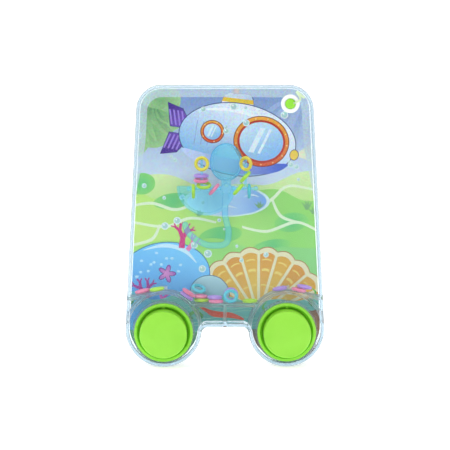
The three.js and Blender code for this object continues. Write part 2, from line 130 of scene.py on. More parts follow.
def maths(tree, operation, *plugs):
    """A Math node."""
    return add_node(tree, "ShaderNodeMath", *plugs, operation=operation)


def vectors(tree, operation, *plugs, **values):
    """A Vector Math node."""
    return add_node(tree, "ShaderNodeVectorMath", *plugs, operation=operation, **values)


def ramp(tree, value, low, high, start=0.0, end=1.0, **settings):
    """A value between low and high, mapped to the range from start to end."""
    return add_node(tree, "ShaderNodeMapRange", value, low, high, start, end, **settings)


def mix(tree, share, one, two):
    """The colour output of a mix of two colours."""
    return add_node(tree, "ShaderNodeMix", share, *[None] * 5, one, two, data_type="RGBA").outputs[2]


def open_group(name, kind, inputs, outputs):
    """A node group with its sockets, each a name, a kind and perhaps a value, and its two end nodes."""
    group = bpy.data.node_groups.new(name, kind)
    for direction, sockets in (("INPUT", inputs), ("OUTPUT", outputs)):
        for label, sort, *value in sockets:
            socket = group.interface.new_socket(label, in_out=direction, socket_type=f"NodeSocket{sort}")
            if value:
                socket.default_value = value[0]
    return group, group.nodes.new("NodeGroupInput").outputs, group.nodes.new("NodeGroupOutput")


# %% [markdown]
# ## Camera, floor and light
#
# The photograph was taken from well back with a long lens, a little above the top of the toy and almost
# straight on, so its sides hardly converge. We aim at the middle of the CAD box from that far
# away. The floor is a white sweep that glows under and behind the toy, like a light table. It curves up
# behind the toy, so that no horizon shows. Its glow fades to the sides and to the front, because clear
# edges only read as lines where they have something darker to bend into view.

# %% Camera
CAMERA_SIDE, CAMERA_DISTANCE, CAMERA_HEIGHT = -0.0126, 0.74, 0.145
AIM = Vector((0.0001, 0.004, 0.0651))

camera_data = bpy.data.cameras.new("photo_camera")
camera_data.lens = 129.3
camera_data.sensor_width = 36
camera = new_object("photo_camera", camera_data)
aim(camera, (CAMERA_SIDE, -CAMERA_DISTANCE, CAMERA_HEIGHT), AIM)
bpy.context.scene.camera = camera
bpy.context.scene.view_settings.view_transform = "Standard"
print("camera pitch in degrees:", round(math.degrees(camera.rotation_euler.x) - 90, 2))

# %% Floor sweep
SWEEP_FRONT, SWEEP_BACK, SWEEP_RADIUS, SWEEP_TOP, SWEEP_HALF_WIDTH = -1.6, 0.9, 0.5, 1.9, 2.2
SWEEP_STEPS = 24
FLOOR_GLOW, FAR_SHARE = 0.6, 0.4
SIDE_FALL, FRONT_FALL = (0.45, 1.1), (-0.25, -0.6)


def sweep_line():
    """Side view of the floor: flat, a quarter turn, then upright."""
    line = [(SWEEP_FRONT, 0.0)]
    for i in range(SWEEP_STEPS + 1):
        turn = math.pi / 2 * i / SWEEP_STEPS
        y = SWEEP_BACK - SWEEP_RADIUS * (1 - math.sin(turn))
        line.append((y, SWEEP_RADIUS * (1 - math.cos(turn))))
    line.append((SWEEP_BACK, SWEEP_TOP))
    return line


sweep_mesh = bpy.data.meshes.new("floor_sweep")
line = sweep_line()
corners = [(side * SWEEP_HALF_WIDTH, y, z) for y, z in line for side in (-1, 1)]
strips = [(2 * i, 2 * i + 1, 2 * i + 3, 2 * i + 2) for i in range(len(line) - 1)]
sweep_mesh.from_pydata(corners, [], strips)
for face in sweep_mesh.polygons:
    face.use_smooth = True
floor = new_object("floor_sweep", sweep_mesh)

floor_paint = bpy.data.materials.new("floor_white")
floor_paint.use_nodes = True
floor_tree = floor_paint.node_tree
floor_place = add_node(floor_tree, "ShaderNodeTexCoord").outputs["Object"]
floor_split = add_node(floor_tree, "ShaderNodeSeparateXYZ", floor_place)
across = maths(floor_tree, "ABSOLUTE", floor_split.outputs["X"])
glow_parts = [ramp(floor_tree, way, *fall, 1.0, FAR_SHARE, interpolation_type="SMOOTHSTEP")
              for way, fall in ((across, SIDE_FALL), (floor_split.outputs["Y"], FRONT_FALL))]
glow = maths(floor_tree, "MULTIPLY", maths(floor_tree, "MULTIPLY", *glow_parts), FLOOR_GLOW)
fill(floor_tree.nodes["Principled BSDF"], Base_Color=(0.93, 0.93, 0.93, 1), Roughness=0.9,
     Specular_IOR_Level=0.1, Emission_Color=(1, 1, 1, 1), Emission_Strength=glow)
floor.data.materials.append(floor_paint)
print("floor faces:", len(sweep_mesh.polygons))

# %% Studio light
ROOM_LOW, ROOM_HIGH = (0.46, 0.47, 0.49, 1), (0.5, 0.51, 0.52, 1)
ROOM_BLEND = (-0.1, 0.7)

world = bpy.data.worlds.new("studio")
world.use_nodes = True
room = world.node_tree
room_way = add_node(room, "ShaderNodeSeparateXYZ", add_node(room, "ShaderNodeTexCoord").outputs["Generated"])
room_share = ramp(room, room_way.outputs["Z"], *ROOM_BLEND)
fill(room.nodes["Background"], Color=mix(room, room_share, ROOM_LOW, ROOM_HIGH))
bpy.context.scene.world = world

TOY_MIDDLE = (0, 0, 0.06)
for name, place, target, size, power in (("key_light", (-0.6, -0.8, 1.1), TOY_MIDDLE, 0.7, 5.2),
                                         ("fill_light", (0.9, -0.8, 0.6), TOY_MIDDLE, 0.9, 2.4),
                                         ("sweep_light", (0, 0.2, 1.5), (0, 0.8, 0.3), 1.2, 6.5)):
    softbox = bpy.data.lights.new(name, "AREA")
    softbox.shape, softbox.size, softbox.energy = "SQUARE", size, power
    aim(new_object(name, softbox), place, target)

# %% [markdown]
# ## Mesh helpers
#
# Most pieces are one of three kinds: turned about a button's axis, lofted along the outline of the case,
# or cut and joined from simpler solids. One helper for each keeps the later cells short. Turned and
# lofted meshes are smooth all over, except at edges that turn by more than a set angle.

# %% Turned and lofted meshes
SHARP_ANGLE = math.radians(32)
ROUND = 96


def finish_mesh(bm, name, sharp=SHARP_ANGLE, weld=1e-7):
    """Merges doubles, points the faces outwards, marks sharp edges and returns a mesh."""
    bmesh.ops.remove_doubles(bm, verts=bm.verts, dist=weld)
    bmesh.ops.recalc_face_normals(bm, faces=bm.faces)
    for face in bm.faces:
        face.smooth = True
    for edge in bm.edges:
        edge.smooth = len(edge.link_faces) != 2 or edge.calc_face_angle(0) < sharp
    mesh = bpy.data.meshes.new(name)
    bm.to_mesh(mesh)
    bm.free()
    return mesh


def turned(name, profile, x, z, steps=ROUND):
    """A profile of (radius, y) points turned about a line along Y through (x, z). It starts and ends on
    the axis, or closes on itself."""
    closed = profile[0] == profile[-1]
    points = profile[:-1] if closed else profile
    bm = bmesh.new()
    rings = []
    for radius, y in points:
        if radius == 0:
            rings.append([bm.verts.new((x, y, z))])
            continue
        angles = [2 * math.pi * i / steps for i in range(steps)]
        rings.append([bm.verts.new((x + radius * math.cos(a), y, z + radius * math.sin(a))) for a in angles])
    pairs = list(zip(rings, rings[1:])) + ([(rings[-1], rings[0])] if closed else [])
    for one, two in pairs:
        for i in range(steps):
            j = (i + 1) % steps
            corners = [one[i % len(one)], one[j % len(one)], two[j % len(two)], two[i % len(two)]]
            face = list(dict.fromkeys(corners))
            if len(face) > 2:
                bm.faces.new(face)
    return new_object(name, finish_mesh(bm, name))


def polar(x, z, reach, angle):
    """The point at a reach and an angle from (x, z)."""
    return x + reach * math.cos(angle), z + reach * math.sin(angle)


def arc(x, z, radius, start, end, steps):
    """Points on an arc, both ends included."""
    return [polar(x, z, radius, start + (end - start) * i / steps) for i in range(steps + 1)]


def rounded(profile, radii, steps=5):
    """A profile whose inner corners are rounded: radii holds one radius per point, 0 for a sharp one."""
    result = []
    for i, (point, radius) in enumerate(zip(profile, radii)):
        if radius == 0 or i in (0, len(profile) - 1):
            result.append(point)
            continue
        here = Vector(point)
        before, after = Vector(profile[i - 1]) - here, Vector(profile[i + 1]) - here
        half = before.angle(after) / 2
        reach = min(radius / math.tan(half), before.length / 2, after.length / 2)
        start, end = here + before.normalized() * reach, here + after.normalized() * reach
        for k in range(steps + 1):
            t = k / steps
            result.append(tuple((1 - t) ** 2 * start + 2 * t * (1 - t) * here + t * t * end))
    return result


# %% [markdown]
# The case outline is the same rule as in the CAD: a round foot on each side, a leaning side, a rounded
# top corner and a small fillet where each foot meets the gap. Every arc keeps its centre when the outline
# is drawn inwards, so outlines of any inset have matching points and can be lofted into each other. The
# foot's centre is read from the frame, because each foot touches the floor and holds a button.

# %% Case outline
shell_low, shell_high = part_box("front_shell")
cover_low, cover_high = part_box("rear_cover")
card_low, card_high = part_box("picture_card")
plate_low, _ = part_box("tank_back")
ring_low, ring_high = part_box("button_ring_right")

FOOT_X = (ring_low.x + ring_high.x) / 2
BUTTON_Z = (ring_low.z + ring_high.z) / 2
SIDE_LEAN = math.radians(3.1)
FOOT_RADIUS, TOP_RADIUS, GAP_TOP, GAP_FILLET = mm(17.6, 11.5, 18.4, 3)
SIDE_WALL, FRONT_WALL = mm(1.5, 1.8)
FRONT_Y, WALL_END = shell_low.y, shell_high.y
WATER_FRONT, WATER_BACK = FRONT_Y + FRONT_WALL, plate_low.y
FOOT_STEPS, TOP_STEPS, FILLET_STEPS = 28, 18, 8


def case_outline(inset):
    """Points of the outline in the front view, as (x, z), drawn inwards by an inset."""
    corner_z = shell_high.z - TOP_RADIUS
    fall = (corner_z - FOOT_RADIUS) * math.sin(SIDE_LEAN)
    corner_x = FOOT_X + (FOOT_RADIUS - TOP_RADIUS - fall) / math.cos(SIDE_LEAN)
    fillet_z = GAP_TOP - GAP_FILLET
    fillet_x = FOOT_X - math.sqrt((FOOT_RADIUS + GAP_FILLET) ** 2 - (FOOT_RADIUS - fillet_z) ** 2)
    towards_foot = math.atan2(FOOT_RADIUS - fillet_z, FOOT_X - fillet_x)
    under = -math.pi / 2
    right = arc(fillet_x, fillet_z, GAP_FILLET + inset, math.pi / 2, towards_foot, FILLET_STEPS)
    right += arc(FOOT_X, FOOT_RADIUS, FOOT_RADIUS - inset, towards_foot - math.pi, under, FOOT_STEPS)[1:]
    right += arc(FOOT_X, FOOT_RADIUS, FOOT_RADIUS - inset, under, SIDE_LEAN, FOOT_STEPS)[1:]
    right += arc(corner_x, corner_z, TOP_RADIUS - inset, SIDE_LEAN, math.pi / 2, TOP_STEPS)
    return right + [(-x, z) for x, z in reversed(right)]


def skinned(name, rings, caps_first=False):
    """A closed solid through outlines with matching points: the first and the last outline are filled."""
    bm = bmesh.new()
    rings = [[bm.verts.new(point) for point in ring] for ring in rings]
    count = len(rings[0])
    caps = [rings[0], rings[-1]]
    sides = [(one[i], one[(i + 1) % count], two[(i + 1) % count], two[i])
             for one, two in zip(rings, rings[1:]) for i in range(count)]
    for corners in (caps + sides if caps_first else sides + caps):
        bm.faces.new(corners)
    return new_object(name, finish_mesh(bm, name))


def lofted(name, profile):
    """A solid whose section is a list of (inset, y) points along the outline of the case."""
    return skinned(name, [[(x, y, z) for x, z in case_outline(inset)] for inset, y in profile])


def edge_round(radius, inset, y, steps=6):
    """Profile points of a rounded front edge that starts on the side wall and ends on the front face."""
    turns = [math.pi / 2 * i / steps for i in range(steps + 1)]
    return [(inset + radius * (1 - math.cos(t)), y + radius * (1 - math.sin(t))) for t in turns]


print("outline points:", len(case_outline(0)))


# %% Joining and cutting
def combine(target, tools, operation, materials="INDEX"):
    """Joins tools to a target, or cuts them away from it, and removes the tools."""
    for tool in tools:
        modifier = target.modifiers.new("combine", "BOOLEAN")
        modifier.object = tool
        modifier.operation = operation
        modifier.solver = "EXACT"
        modifier.material_mode = materials
        mesh = baked(target)
        target.modifiers.remove(modifier)
        old = target.data
        target.data = mesh
        bpy.data.meshes.remove(old)
        bpy.data.objects.remove(tool)
    return target


def prism(name, outline, from_y, to_y):
    """A front-view outline of (x, z) points made solid from one depth to another."""
    return skinned(name, [[(x, y, z) for x, z in outline] for y in (from_y, to_y)], caps_first=True)


def bar(name, x, z, radius, from_y, to_y, steps=ROUND):
    """A round bar along Y."""
    return prism(name, arc(x, z, radius, 0, 2 * math.pi, steps)[:-1], from_y, to_y)


def slab(name, x0, x1, y0, y1, z0, z1):
    """A straight block between two corners."""
    return prism(name, [(x0, z0), (x1, z0), (x1, z1), (x0, z1)], y0, y1)


def tube(points, radius, sides=20):
    """A round rod along a smooth path of points, with flat ends."""
    spline_data = bpy.data.curves.new("rod", "CURVE")
    spline_data.dimensions = "3D"
    spline_data.bevel_depth = radius
    spline_data.bevel_resolution = sides // 4
    spline_data.use_fill_caps = True
    spline = spline_data.splines.new("POLY")
    spline.points.add(len(points) - 1)
    for target, source in zip(spline.points, points):
        target.co = (*source, 1)
    made = new_object("rod", spline_data)
    mesh = baked(made)
    bpy.data.objects.remove(made)
    bm = bmesh.new()
    bm.from_mesh(mesh)
    return new_object("rod", finish_mesh(bm, "rod"))


def resharpen(thing, weld=1e-6):
    """Cleans a cut mesh and marks its sharp edges again."""
    bm = bmesh.new()
    bm.from_mesh(thing.data)
    old = thing.data
    thing.data = finish_mesh(bm, old.name + "_clean", weld=weld)
    for material in old.materials:
        thing.data.materials.append(material)
    bpy.data.meshes.remove(old)
    return thing


# %% [markdown]
# ## Materials
#
# Moulded plastic is never quite even. Handling leaves faint marks that change its roughness, and the
# mould leaves a fine skin that bends its highlights a little. Both are one node group, used by every
# plastic here with its own scale and strength. It puts out only values and a height, so each material
# keeps its own Principled shader.
#
# The tank of such a toy is full of water. Water bends light almost as much as plastic does, so a wet face
# hardly shines: what counts there is the ratio of the two, about 1.12, and not the 1.49 of a dry face.

# %% Shared node group for marks on plastic
SCRATCH_WIDTH, SCRATCH_SHARE = 0.035, 0.6
SMUDGE_RANGE = (0.38, 0.7)


def make_marks_group():
    """Roughness and height of handled, moulded plastic from Object coordinates."""
    group, inside, outside = open_group(
        "moulded_marks", "ShaderNodeTree",
        [("Mark Scale", "Float", 90.0), ("Skin Scale", "Float", 900.0), ("Base Roughness", "Float", 0.3),
         ("Mark Strength", "Float", 0.1)],
        [("Roughness", "Float"), ("Height", "Float"), ("Mask", "Float")])
    place = add_node(group, "ShaderNodeTexCoord").outputs["Object"]
    smudge = add_node(group, "ShaderNodeTexNoise", place, Scale=inside["Mark Scale"], Detail=4.0,
                      Roughness=0.55, Distortion=0.4)
    skin = add_node(group, "ShaderNodeTexNoise", place, Scale=inside["Skin Scale"], Detail=2.0, Roughness=0.5)
    slanted = add_node(group, "ShaderNodeMapping", place, Scale=(1.0, 1.0, 0.06), Rotation=(0.2, 0.5, 0.9))
    scratch = add_node(group, "ShaderNodeTexVoronoi", slanted, feature="DISTANCE_TO_EDGE", Scale=160.0)
    fine = ramp(group, scratch, 0.0, SCRATCH_WIDTH, 1.0, 0.0)
    spread = ramp(group, smudge, *SMUDGE_RANGE)
    marks = maths(group, "MULTIPLY_ADD", maths(group, "MULTIPLY", fine, spread), SCRATCH_SHARE, spread)
    total = maths(group, "MULTIPLY_ADD", marks, inside["Mark Strength"], inside["Base Roughness"])
    fill(outside, total, skin, spread)
    return group


marks_group = make_marks_group()
print("group outputs:", [s.name for s in marks_group.interface.items_tree if s.in_out == "OUTPUT"])


# %% Helpers for colours and plastics
def ink(red, green, blue):
    """A colour as a monitor shows it, 0 to 255, as linear light."""
    def linear(value):
        share = value / 255
        return share / 12.92 if share <= 0.04045 else ((share + 0.055) / 1.055) ** 2.4
    return (linear(red), linear(green), linear(blue), 1.0)


def start_material(name):
    """An empty material with its tree, Principled shader and output."""
    material = bpy.data.materials.new(name)
    material.use_nodes = True
    tree = material.node_tree
    return material, tree, tree.nodes["Principled BSDF"], tree.nodes["Material Output"]


def add_marks(tree, shader, roughness, strength, bump, mark_scale=90.0, skin_scale=900.0):
    """Places the marks group and feeds roughness and a faint bump."""
    marks = add_node(tree, "ShaderNodeGroup", mark_scale, skin_scale, roughness, strength,
                     node_tree=marks_group)
    skin = add_node(tree, "ShaderNodeBump", Strength=bump, Distance=0.0002, Height=marks.outputs["Height"])
    fill(shader, Roughness=marks, Normal=skin)
    return marks


DRY, WET = 1.49, 1.12
EDGE_TINT = (0.3, 0.4, 0.46, 1)
EDGE_FULL = 0.95
PLAIN_MARKS = 0.12
GLOW_COLOURS, GLOW_REACH = (0.6, 0.9, 0.4), 0.0015
TRAPPED_BOUNCES = 6.0
TRAPPED_TINT = (0.80, 0.845, 0.87, 1)


def let_light_through(tree, shader, output, tint):
    """Rays from lamps meet a tinted Transparent shader, so that lamps reach what lies behind a clear piece.
    Rays that have bounced about inside the plastic for long leave it darker, as from a deep wall."""
    path = add_node(tree, "ShaderNodeLightPath")
    late = maths(tree, "GREATER_THAN", path.outputs["Ray Depth"], TRAPPED_BOUNCES)
    for condition, colour in ((late, TRAPPED_TINT), (path.outputs["Is Shadow Ray"], tint)):
        clear = add_node(tree, "ShaderNodeBsdfTransparent", colour)
        shader = add_node(tree, "ShaderNodeMixShader", condition, shader, clear)
    fill(output, Surface=shader)


def clear_plastic(name, tint, shadow_tint, roughness, bump, edge=EDGE_TINT, strength=0.03,
                  bend=DRY, clarity=1.0, edge_from=0.5):
    """See-through moulded plastic that bends light. Seen along its surface it takes the edge colour, as
    more plastic lies in the way. A lower edge_from widens that edge. A clarity below 1 makes the body a
    little milky."""
    material, tree, shader, output = start_material(name)
    slant = add_node(tree, "ShaderNodeLayerWeight", Blend=0.5)
    near_edge = ramp(tree, slant.outputs["Facing"], edge_from, EDGE_FULL, interpolation_type="SMOOTHSTEP")
    fill(shader, Base_Color=mix(tree, near_edge, tint, edge), Transmission_Weight=clarity, IOR=bend)
    add_marks(tree, shader, roughness, strength, bump, mark_scale=45.0, skin_scale=220.0)
    let_light_through(tree, shader, output, shadow_tint)
    return material


def solid_plastic(name, colour, shade, roughness, bump, glow):
    """Opaque moulded plastic: two close colours in soft clouds, faint marks and a fine skin."""
    material, tree, shader, _ = start_material(name)
    marks = add_marks(tree, shader, roughness, PLAIN_MARKS, bump)
    clouds = mix(tree, marks.outputs["Mask"], ink(*colour), ink(*shade))
    fill(shader, Base_Color=clouds, Subsurface_Weight=glow, Subsurface_Radius=GLOW_COLOURS,
         Subsurface_Scale=GLOW_REACH)
    return material


# %% Plastics of this toy
CLEAR, CLEAR_SHADOW = (0.97, 0.985, 0.985, 1), (0.94, 0.96, 0.965, 1)
RING_INKS = {"pink": ((250, 145, 185), (244, 128, 172)), "lime": ((190, 240, 60), (178, 232, 52)),
             "purple": ((186, 148, 232), (172, 132, 222)), "cyan": ((86, 208, 226), (72, 196, 216)),
             "yellow": ((240, 224, 70), (230, 212, 58))}

case_clear = clear_plastic("case_clear", CLEAR, CLEAR_SHADOW, 0.015, 0.02)
case_wet = clear_plastic("case_wet", CLEAR, CLEAR_SHADOW, 0.015, 0.02, bend=WET)
case_rim = clear_plastic("case_rim", (0.78, 0.84, 0.87, 1), (0.7, 0.78, 0.82, 1), 0.08, 0.1)
plate_clear = clear_plastic("plate_clear", (0.98, 0.99, 0.99, 1), (0.97, 0.98, 0.98, 1), 0.02, 0.015,
                            bend=WET)
cover_clear = clear_plastic("cover_clear", (0.82, 0.88, 0.91, 1), (0.93, 0.95, 0.955, 1), 0.06, 0.05,
                            strength=0.08)
figure_tint = clear_plastic("figure_cyan", (0.6, 0.96, 1.0, 1), (0.88, 0.99, 1.0, 1), 0.05, 0.03,
                            (0.06, 0.5, 0.84, 1), bend=WET, clarity=0.9, edge_from=0.15)
# The figure is given a faint cyan glow: painted light that brightens the moulding beyond what its tint lets
# through.
fill(figure_tint.node_tree.nodes["Principled BSDF"], Emission_Color=(0.05, 0.62, 0.95, 1),
     Emission_Strength=0.08)
floor_frost = clear_plastic("floor_frost", (0.93, 0.965, 0.97, 1), (0.9, 0.93, 0.94, 1), 0.28, 0.1,
                            strength=0.1, bend=WET, clarity=0.74)
seal_clear = clear_plastic("seal_clear", (0.93, 0.96, 0.95, 1), (0.9, 0.93, 0.92, 1), 0.22, 0.12,
                           strength=0.1, bend=WET, clarity=0.92)
lime_pale = clear_plastic("lime_pale", (0.82, 0.95, 0.66, 1), (0.85, 0.95, 0.75, 1), 0.3, 0.1,
                          (0.5, 0.75, 0.3, 1), strength=0.1, clarity=0.45)
lime_satin = solid_plastic("lime_satin", (147, 220, 56), (140, 214, 50), 0.36, 0.12, 0.3)
socket_white = solid_plastic("socket_white", (246, 248, 244), (236, 240, 236), 0.3, 0.08, 0.1)
ring_plastics = {name: solid_plastic(f"ring_{name}", *inks, 0.28, 0.06, 0.32)
                 for name, inks in RING_INKS.items()}
print("materials:", len(bpy.data.materials))


def dress(piece, material, body, slot_name, *nodes):
    """Gives a piece its material and body, and hides the CAD nodes that it stands for. A piece that has its
    materials already comes without one. The slot name is not used."""
    if material:
        piece.data.materials.clear()
        piece.data.materials.append(material)
    if nodes:
        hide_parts(*nodes)
    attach(piece, body)
    print(f"{piece.name}: {len(piece.data.polygons)} faces on {body}")
    return piece


# %% [markdown]
# ## The clear case
#
# On the real toy the front shell is one clear moulding: the front face with its rounded edge, the side
# walls, and inside it the tank floor with a round pump chamber around each foot. A box with booleans would
# leave hard edges, so the outer skin is lofted along the outline, hollowed by a second loft, and the floor
# is joined to it. Clear plastic shows every inner face, so the parts are truly joined, not just pushed
# into each other.

# %% Front shell skin
EDGE_RADIUS, INNER_ROUND, OVERRUN = mm(1.5, 0.6, 1)

skin_profile = [(0, WALL_END)] + edge_round(EDGE_RADIUS, 0, FRONT_Y)
shell = lofted("front_case", skin_profile)
hollow_profile = [(SIDE_WALL, WALL_END + OVERRUN)] + edge_round(INNER_ROUND, SIDE_WALL, WATER_FRONT)
hollow = lofted("shell_hollow", hollow_profile)
shell.data.materials.append(case_clear)
hollow.data.materials.append(case_wet)
combine(shell, [hollow], "DIFFERENCE", materials="TRANSFER")
print("skin faces:", len(shell.data.polygons))

# %% Tank floor
FLOOR_THICKNESS, SHELF_TOP, DIVIDER = mm(1.5, 29.3, 1.4)
OUTER_SLOPE = math.radians(12)
SPOUT_WIDTH, SPOUT_DEPTH, SPOUT_RISE, SPOUT_SLOT = mm(3.4, 3.2, 1.4, 1.2)
FLOOR_START, FLOOR_END = WATER_FRONT - FRONT_WALL / 2, WATER_BACK - 0.1 * MM
CHAMBER_RADIUS = FOOT_RADIUS - SIDE_WALL
FLOOR_RADIUS = CHAMBER_RADIUS + FLOOR_THICKNESS
# The chamber is cut a little wider, so that no sliver stays where it meets the case wall.
CHAMBER_RELIEF = 0.05 * MM


def slope_outline(side):
    """Section of the sloping floor outside a chamber."""
    start_x = side * (FOOT_X + FLOOR_RADIUS * math.sin(OUTER_SLOPE))
    start_z = FOOT_RADIUS + FLOOR_RADIUS * math.cos(OUTER_SLOPE)
    across, fall = side * FOOT_X * math.cos(OUTER_SLOPE), FOOT_X * math.sin(OUTER_SLOPE)
    drop = FLOOR_THICKNESS / math.cos(OUTER_SLOPE)
    return [(start_x, start_z), (start_x + across, start_z - fall),
            (start_x + across, start_z - fall - drop), (start_x, start_z - drop)]


def tank_floor():
    """Both chamber walls, the slopes, the shelf, the divider and the notched spouts as one solid."""
    wall = bar("tank_floor", FOOT_X, FOOT_RADIUS, FLOOR_RADIUS, FLOOR_START, FLOOR_END)
    shelf_end = FOOT_X - CHAMBER_RADIUS / 2
    adds = [
        bar("wall_left", -FOOT_X, FOOT_RADIUS, FLOOR_RADIUS, FLOOR_START, FLOOR_END),
        slab("shelf", -shelf_end, shelf_end, FLOOR_START, FLOOR_END, SHELF_TOP - FLOOR_THICKNESS, SHELF_TOP),
        slab("divider", -DIVIDER / 2, DIVIDER / 2, FLOOR_START, FLOOR_END,
             GAP_TOP + SIDE_WALL / 2, SHELF_TOP - FLOOR_THICKNESS / 2),
    ]
    cuts = []
    for side in (-1, 1):
        x = side * FOOT_X
        adds.append(prism("slope", slope_outline(side), FLOOR_START, FLOOR_END))
        adds.append(slab("spout", x - SPOUT_WIDTH / 2, x + SPOUT_WIDTH / 2,
                         FLOOR_END - SPOUT_DEPTH, FLOOR_END,
                         FOOT_RADIUS + CHAMBER_RADIUS, FOOT_RADIUS + FLOOR_RADIUS + SPOUT_RISE))
        cuts.append(bar("chamber", x, FOOT_RADIUS, CHAMBER_RADIUS + CHAMBER_RELIEF,
                        FLOOR_START - OVERRUN, FLOOR_END + OVERRUN))
        cuts.append(slab("slot", x - SPOUT_SLOT / 2, x + SPOUT_SLOT / 2, FLOOR_END - SPOUT_DEPTH / 2,
                         FLOOR_END + OVERRUN, FOOT_RADIUS, FOOT_RADIUS + FLOOR_RADIUS + SPOUT_RISE + OVERRUN))
    combine(wall, adds, "UNION")
    combine(wall, cuts, "DIFFERENCE")
    inside = lofted("inside", [(SIDE_WALL / 2, FLOOR_START), (SIDE_WALL / 2, WALL_END)])
    combine(wall, [inside], "INTERSECT")
    return wall


floor_piece = tank_floor()
floor_piece.data.materials.append(floor_frost)
combine(shell, [floor_piece], "UNION", materials="TRANSFER")
print("with floor:", len(shell.data.polygons))

# %% Holes for the buttons and the filler
socket_low, socket_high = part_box("fill_socket")
PLUG_X = (socket_low.x + socket_high.x) / 2
PLUG_Z = (socket_low.z + socket_high.z) / 2
HOLE_RADIUS, FILLER_HOLE_RADIUS = mm(12.1, 2.95)
FLAT, FACING_BACK = 0.01 * MM, 0.9
through = (FRONT_Y - OVERRUN, WATER_FRONT + OVERRUN)
holes = [bar("hole", side * FOOT_X, BUTTON_Z, HOLE_RADIUS, *through) for side in (-1, 1)]
holes.append(bar("filler_hole", PLUG_X, PLUG_Z, FILLER_HOLE_RADIUS, *through, 48))
combine(shell, holes, "DIFFERENCE")
resharpen(shell)
shell.data.materials.append(case_rim)
for face in shell.data.polygons:
    if face.center.y > WALL_END - FLAT and abs(face.normal.y) > FACING_BACK:
        face.material_index = len(shell.data.materials) - 1
print("materials of the case:", [m.name for m in shell.data.materials])
dress(shell, None, "case", "clear_case", "front_shell")

# %% [markdown]
# The rear cover closes the case behind the card. It follows the same outline, with a small round at its
# outer edge. The plate between tank and card is already right in the CAD and only takes a material.

# %% Rear cover and back plate
REAR_EDGE = 0.9 * MM
rear_round = [(inset, -y) for inset, y in edge_round(REAR_EDGE, 0, -cover_high.y, 5)]
cover_profile = [(0, cover_low.y)] + rear_round
rear_cover = lofted("rear_plate", cover_profile)
dress(rear_cover, cover_clear, "case", "clear_cover", "rear_cover")

plate = frame["nodes"]["tank_back"]
plate.data.materials.clear()
plate.data.materials.append(plate_clear)

# %% [markdown]
# ## The printed card
#
# The card is one sheet with a picture printed on it. A picture could be a texture, but here it is drawn
# as outlines: each motif is a closed outline with its own ink, laid over the ones before it, as a
# silkscreen printer stacks inks. A constrained triangulation then cuts the card's face along all the
# outlines at once, and each little face takes the topmost ink. The result stays crisp however close the
# camera comes, and the sheet stays one closed solid.
#
# The picture is a seabed garden of common things: a diving boat, hills, a shell, a rock, coral and bubbles.

# %% Drawing tools for the print
prints = []


def flat(colour):
    """One colour all over."""
    light = ink(*colour)
    return lambda x, z: light


def blend_inks(one, two, share):
    """A colour between two, by a share that is kept from 0 to 1."""
    share = min(max(share, 0), 1)
    return tuple(a + (b - a) * share for a, b in zip(one, two))


def fade(start, end, point_a, point_b):
    """A colour that runs from start at point_a to end at point_b."""
    start, end, axis = ink(*start), ink(*end), Vector(point_b) - Vector(point_a)

    def at(x, z):
        return blend_inks(start, end, (Vector((x, z)) - Vector(point_a)).dot(axis) / axis.length_squared)
    return at


def halo(inner, outer, x0, z0, reach):
    """A colour that runs from inner at a point to outer at a distance from it."""
    inner, outer = ink(*inner), ink(*outer)
    return lambda x, z: blend_inks(inner, outer, math.hypot(x - x0, z - z0) / reach)


def turned_left(outline):
    """The same outline, run so that its inside is on the left, which is how the cutting reads it."""
    ahead = outline[1:] + outline[:1]
    area = sum(a[0] * b[1] - b[0] * a[1] for a, b in zip(outline, ahead))
    return list(outline) if area > 0 else list(outline)[::-1]


def paint(outline, colour):
    """Lays one closed outline over the picture. A plain colour is the same all over."""
    prints.append((turned_left(outline), colour if callable(colour) else flat(colour)))


def oval(x, z, across, up, turn=0.0, steps=40):
    """An ellipse by its centre and half widths, turned by degrees."""
    co, si = math.cos(math.radians(turn)), math.sin(math.radians(turn))
    angles = [2 * math.pi * i / steps for i in range(steps)]
    points = [(across * math.cos(a), up * math.sin(a)) for a in angles]
    return [(x + u * co - v * si, z + u * si + v * co) for u, v in points]


def ribbon(path, widths):
    """An outline around a path whose half width runs through a list of values."""
    left, right = [], []
    for i, (x, z) in enumerate(path):
        before, after = path[max(i - 1, 0)], path[min(i + 1, len(path) - 1)]
        along = Vector((after[0] - before[0], after[1] - before[1])).normalized()
        place = i / (len(path) - 1) * (len(widths) - 1)
        k = min(int(place), len(widths) - 2)
        half = widths[k] + (widths[k + 1] - widths[k]) * (place - k)
        left.append((x - along.y * half, z + along.x * half))
        right.append((x + along.y * half, z - along.x * half))
    return left + right[::-1]


def curve(points, steps=10):
    """A smooth path through a few points, in the front view or in space."""
    ends = [points[0]] + list(points) + [points[-1]]
    path = []
    for i in range(len(points) - 1):
        a, b, c, d = (Vector(p) for p in ends[i:i + 4])
        for k in range(steps):
            t = k / steps
            path.append(tuple(0.5 * (2 * b + (c - a) * t + (2 * a - 5 * b + 4 * c - d) * t ** 2
                                     + (3 * b - a - 3 * c + d) * t ** 3)))
    path.append(tuple(points[-1]))
    return path


def outlined(outline, colour, line_colour, line=0.35):
    """A filled outline with a thin darker line around it."""
    outline = turned_left(outline)
    count = len(outline)
    grown = []
    for i in range(count):
        before, after = Vector(outline[i - 1]), Vector(outline[(i + 1) % count])
        along = (after - before).normalized()
        grown.append((outline[i][0] + along.y * line, outline[i][1] - along.x * line))
    paint(grown, line_colour)
    paint(outline, colour)


# %% Water, light and far hills
CARD_HALF, CARD_TOP = 46.0, 129.0


def ground(level, sways, bottom=-2.0, steps=60):
    """Everything below a wavy line: sways holds (height, waves across the card, phase)."""
    top = []
    for i in range(steps + 1):
        x = -CARD_HALF + 2 * CARD_HALF * i / steps
        rises = [height * math.sin(waves * math.pi * x / CARD_HALF + phase) for height, waves, phase in sways]
        top.append((x, level + sum(rises)))
    return [(-CARD_HALF, bottom), (CARD_HALF, bottom)] + top[::-1]


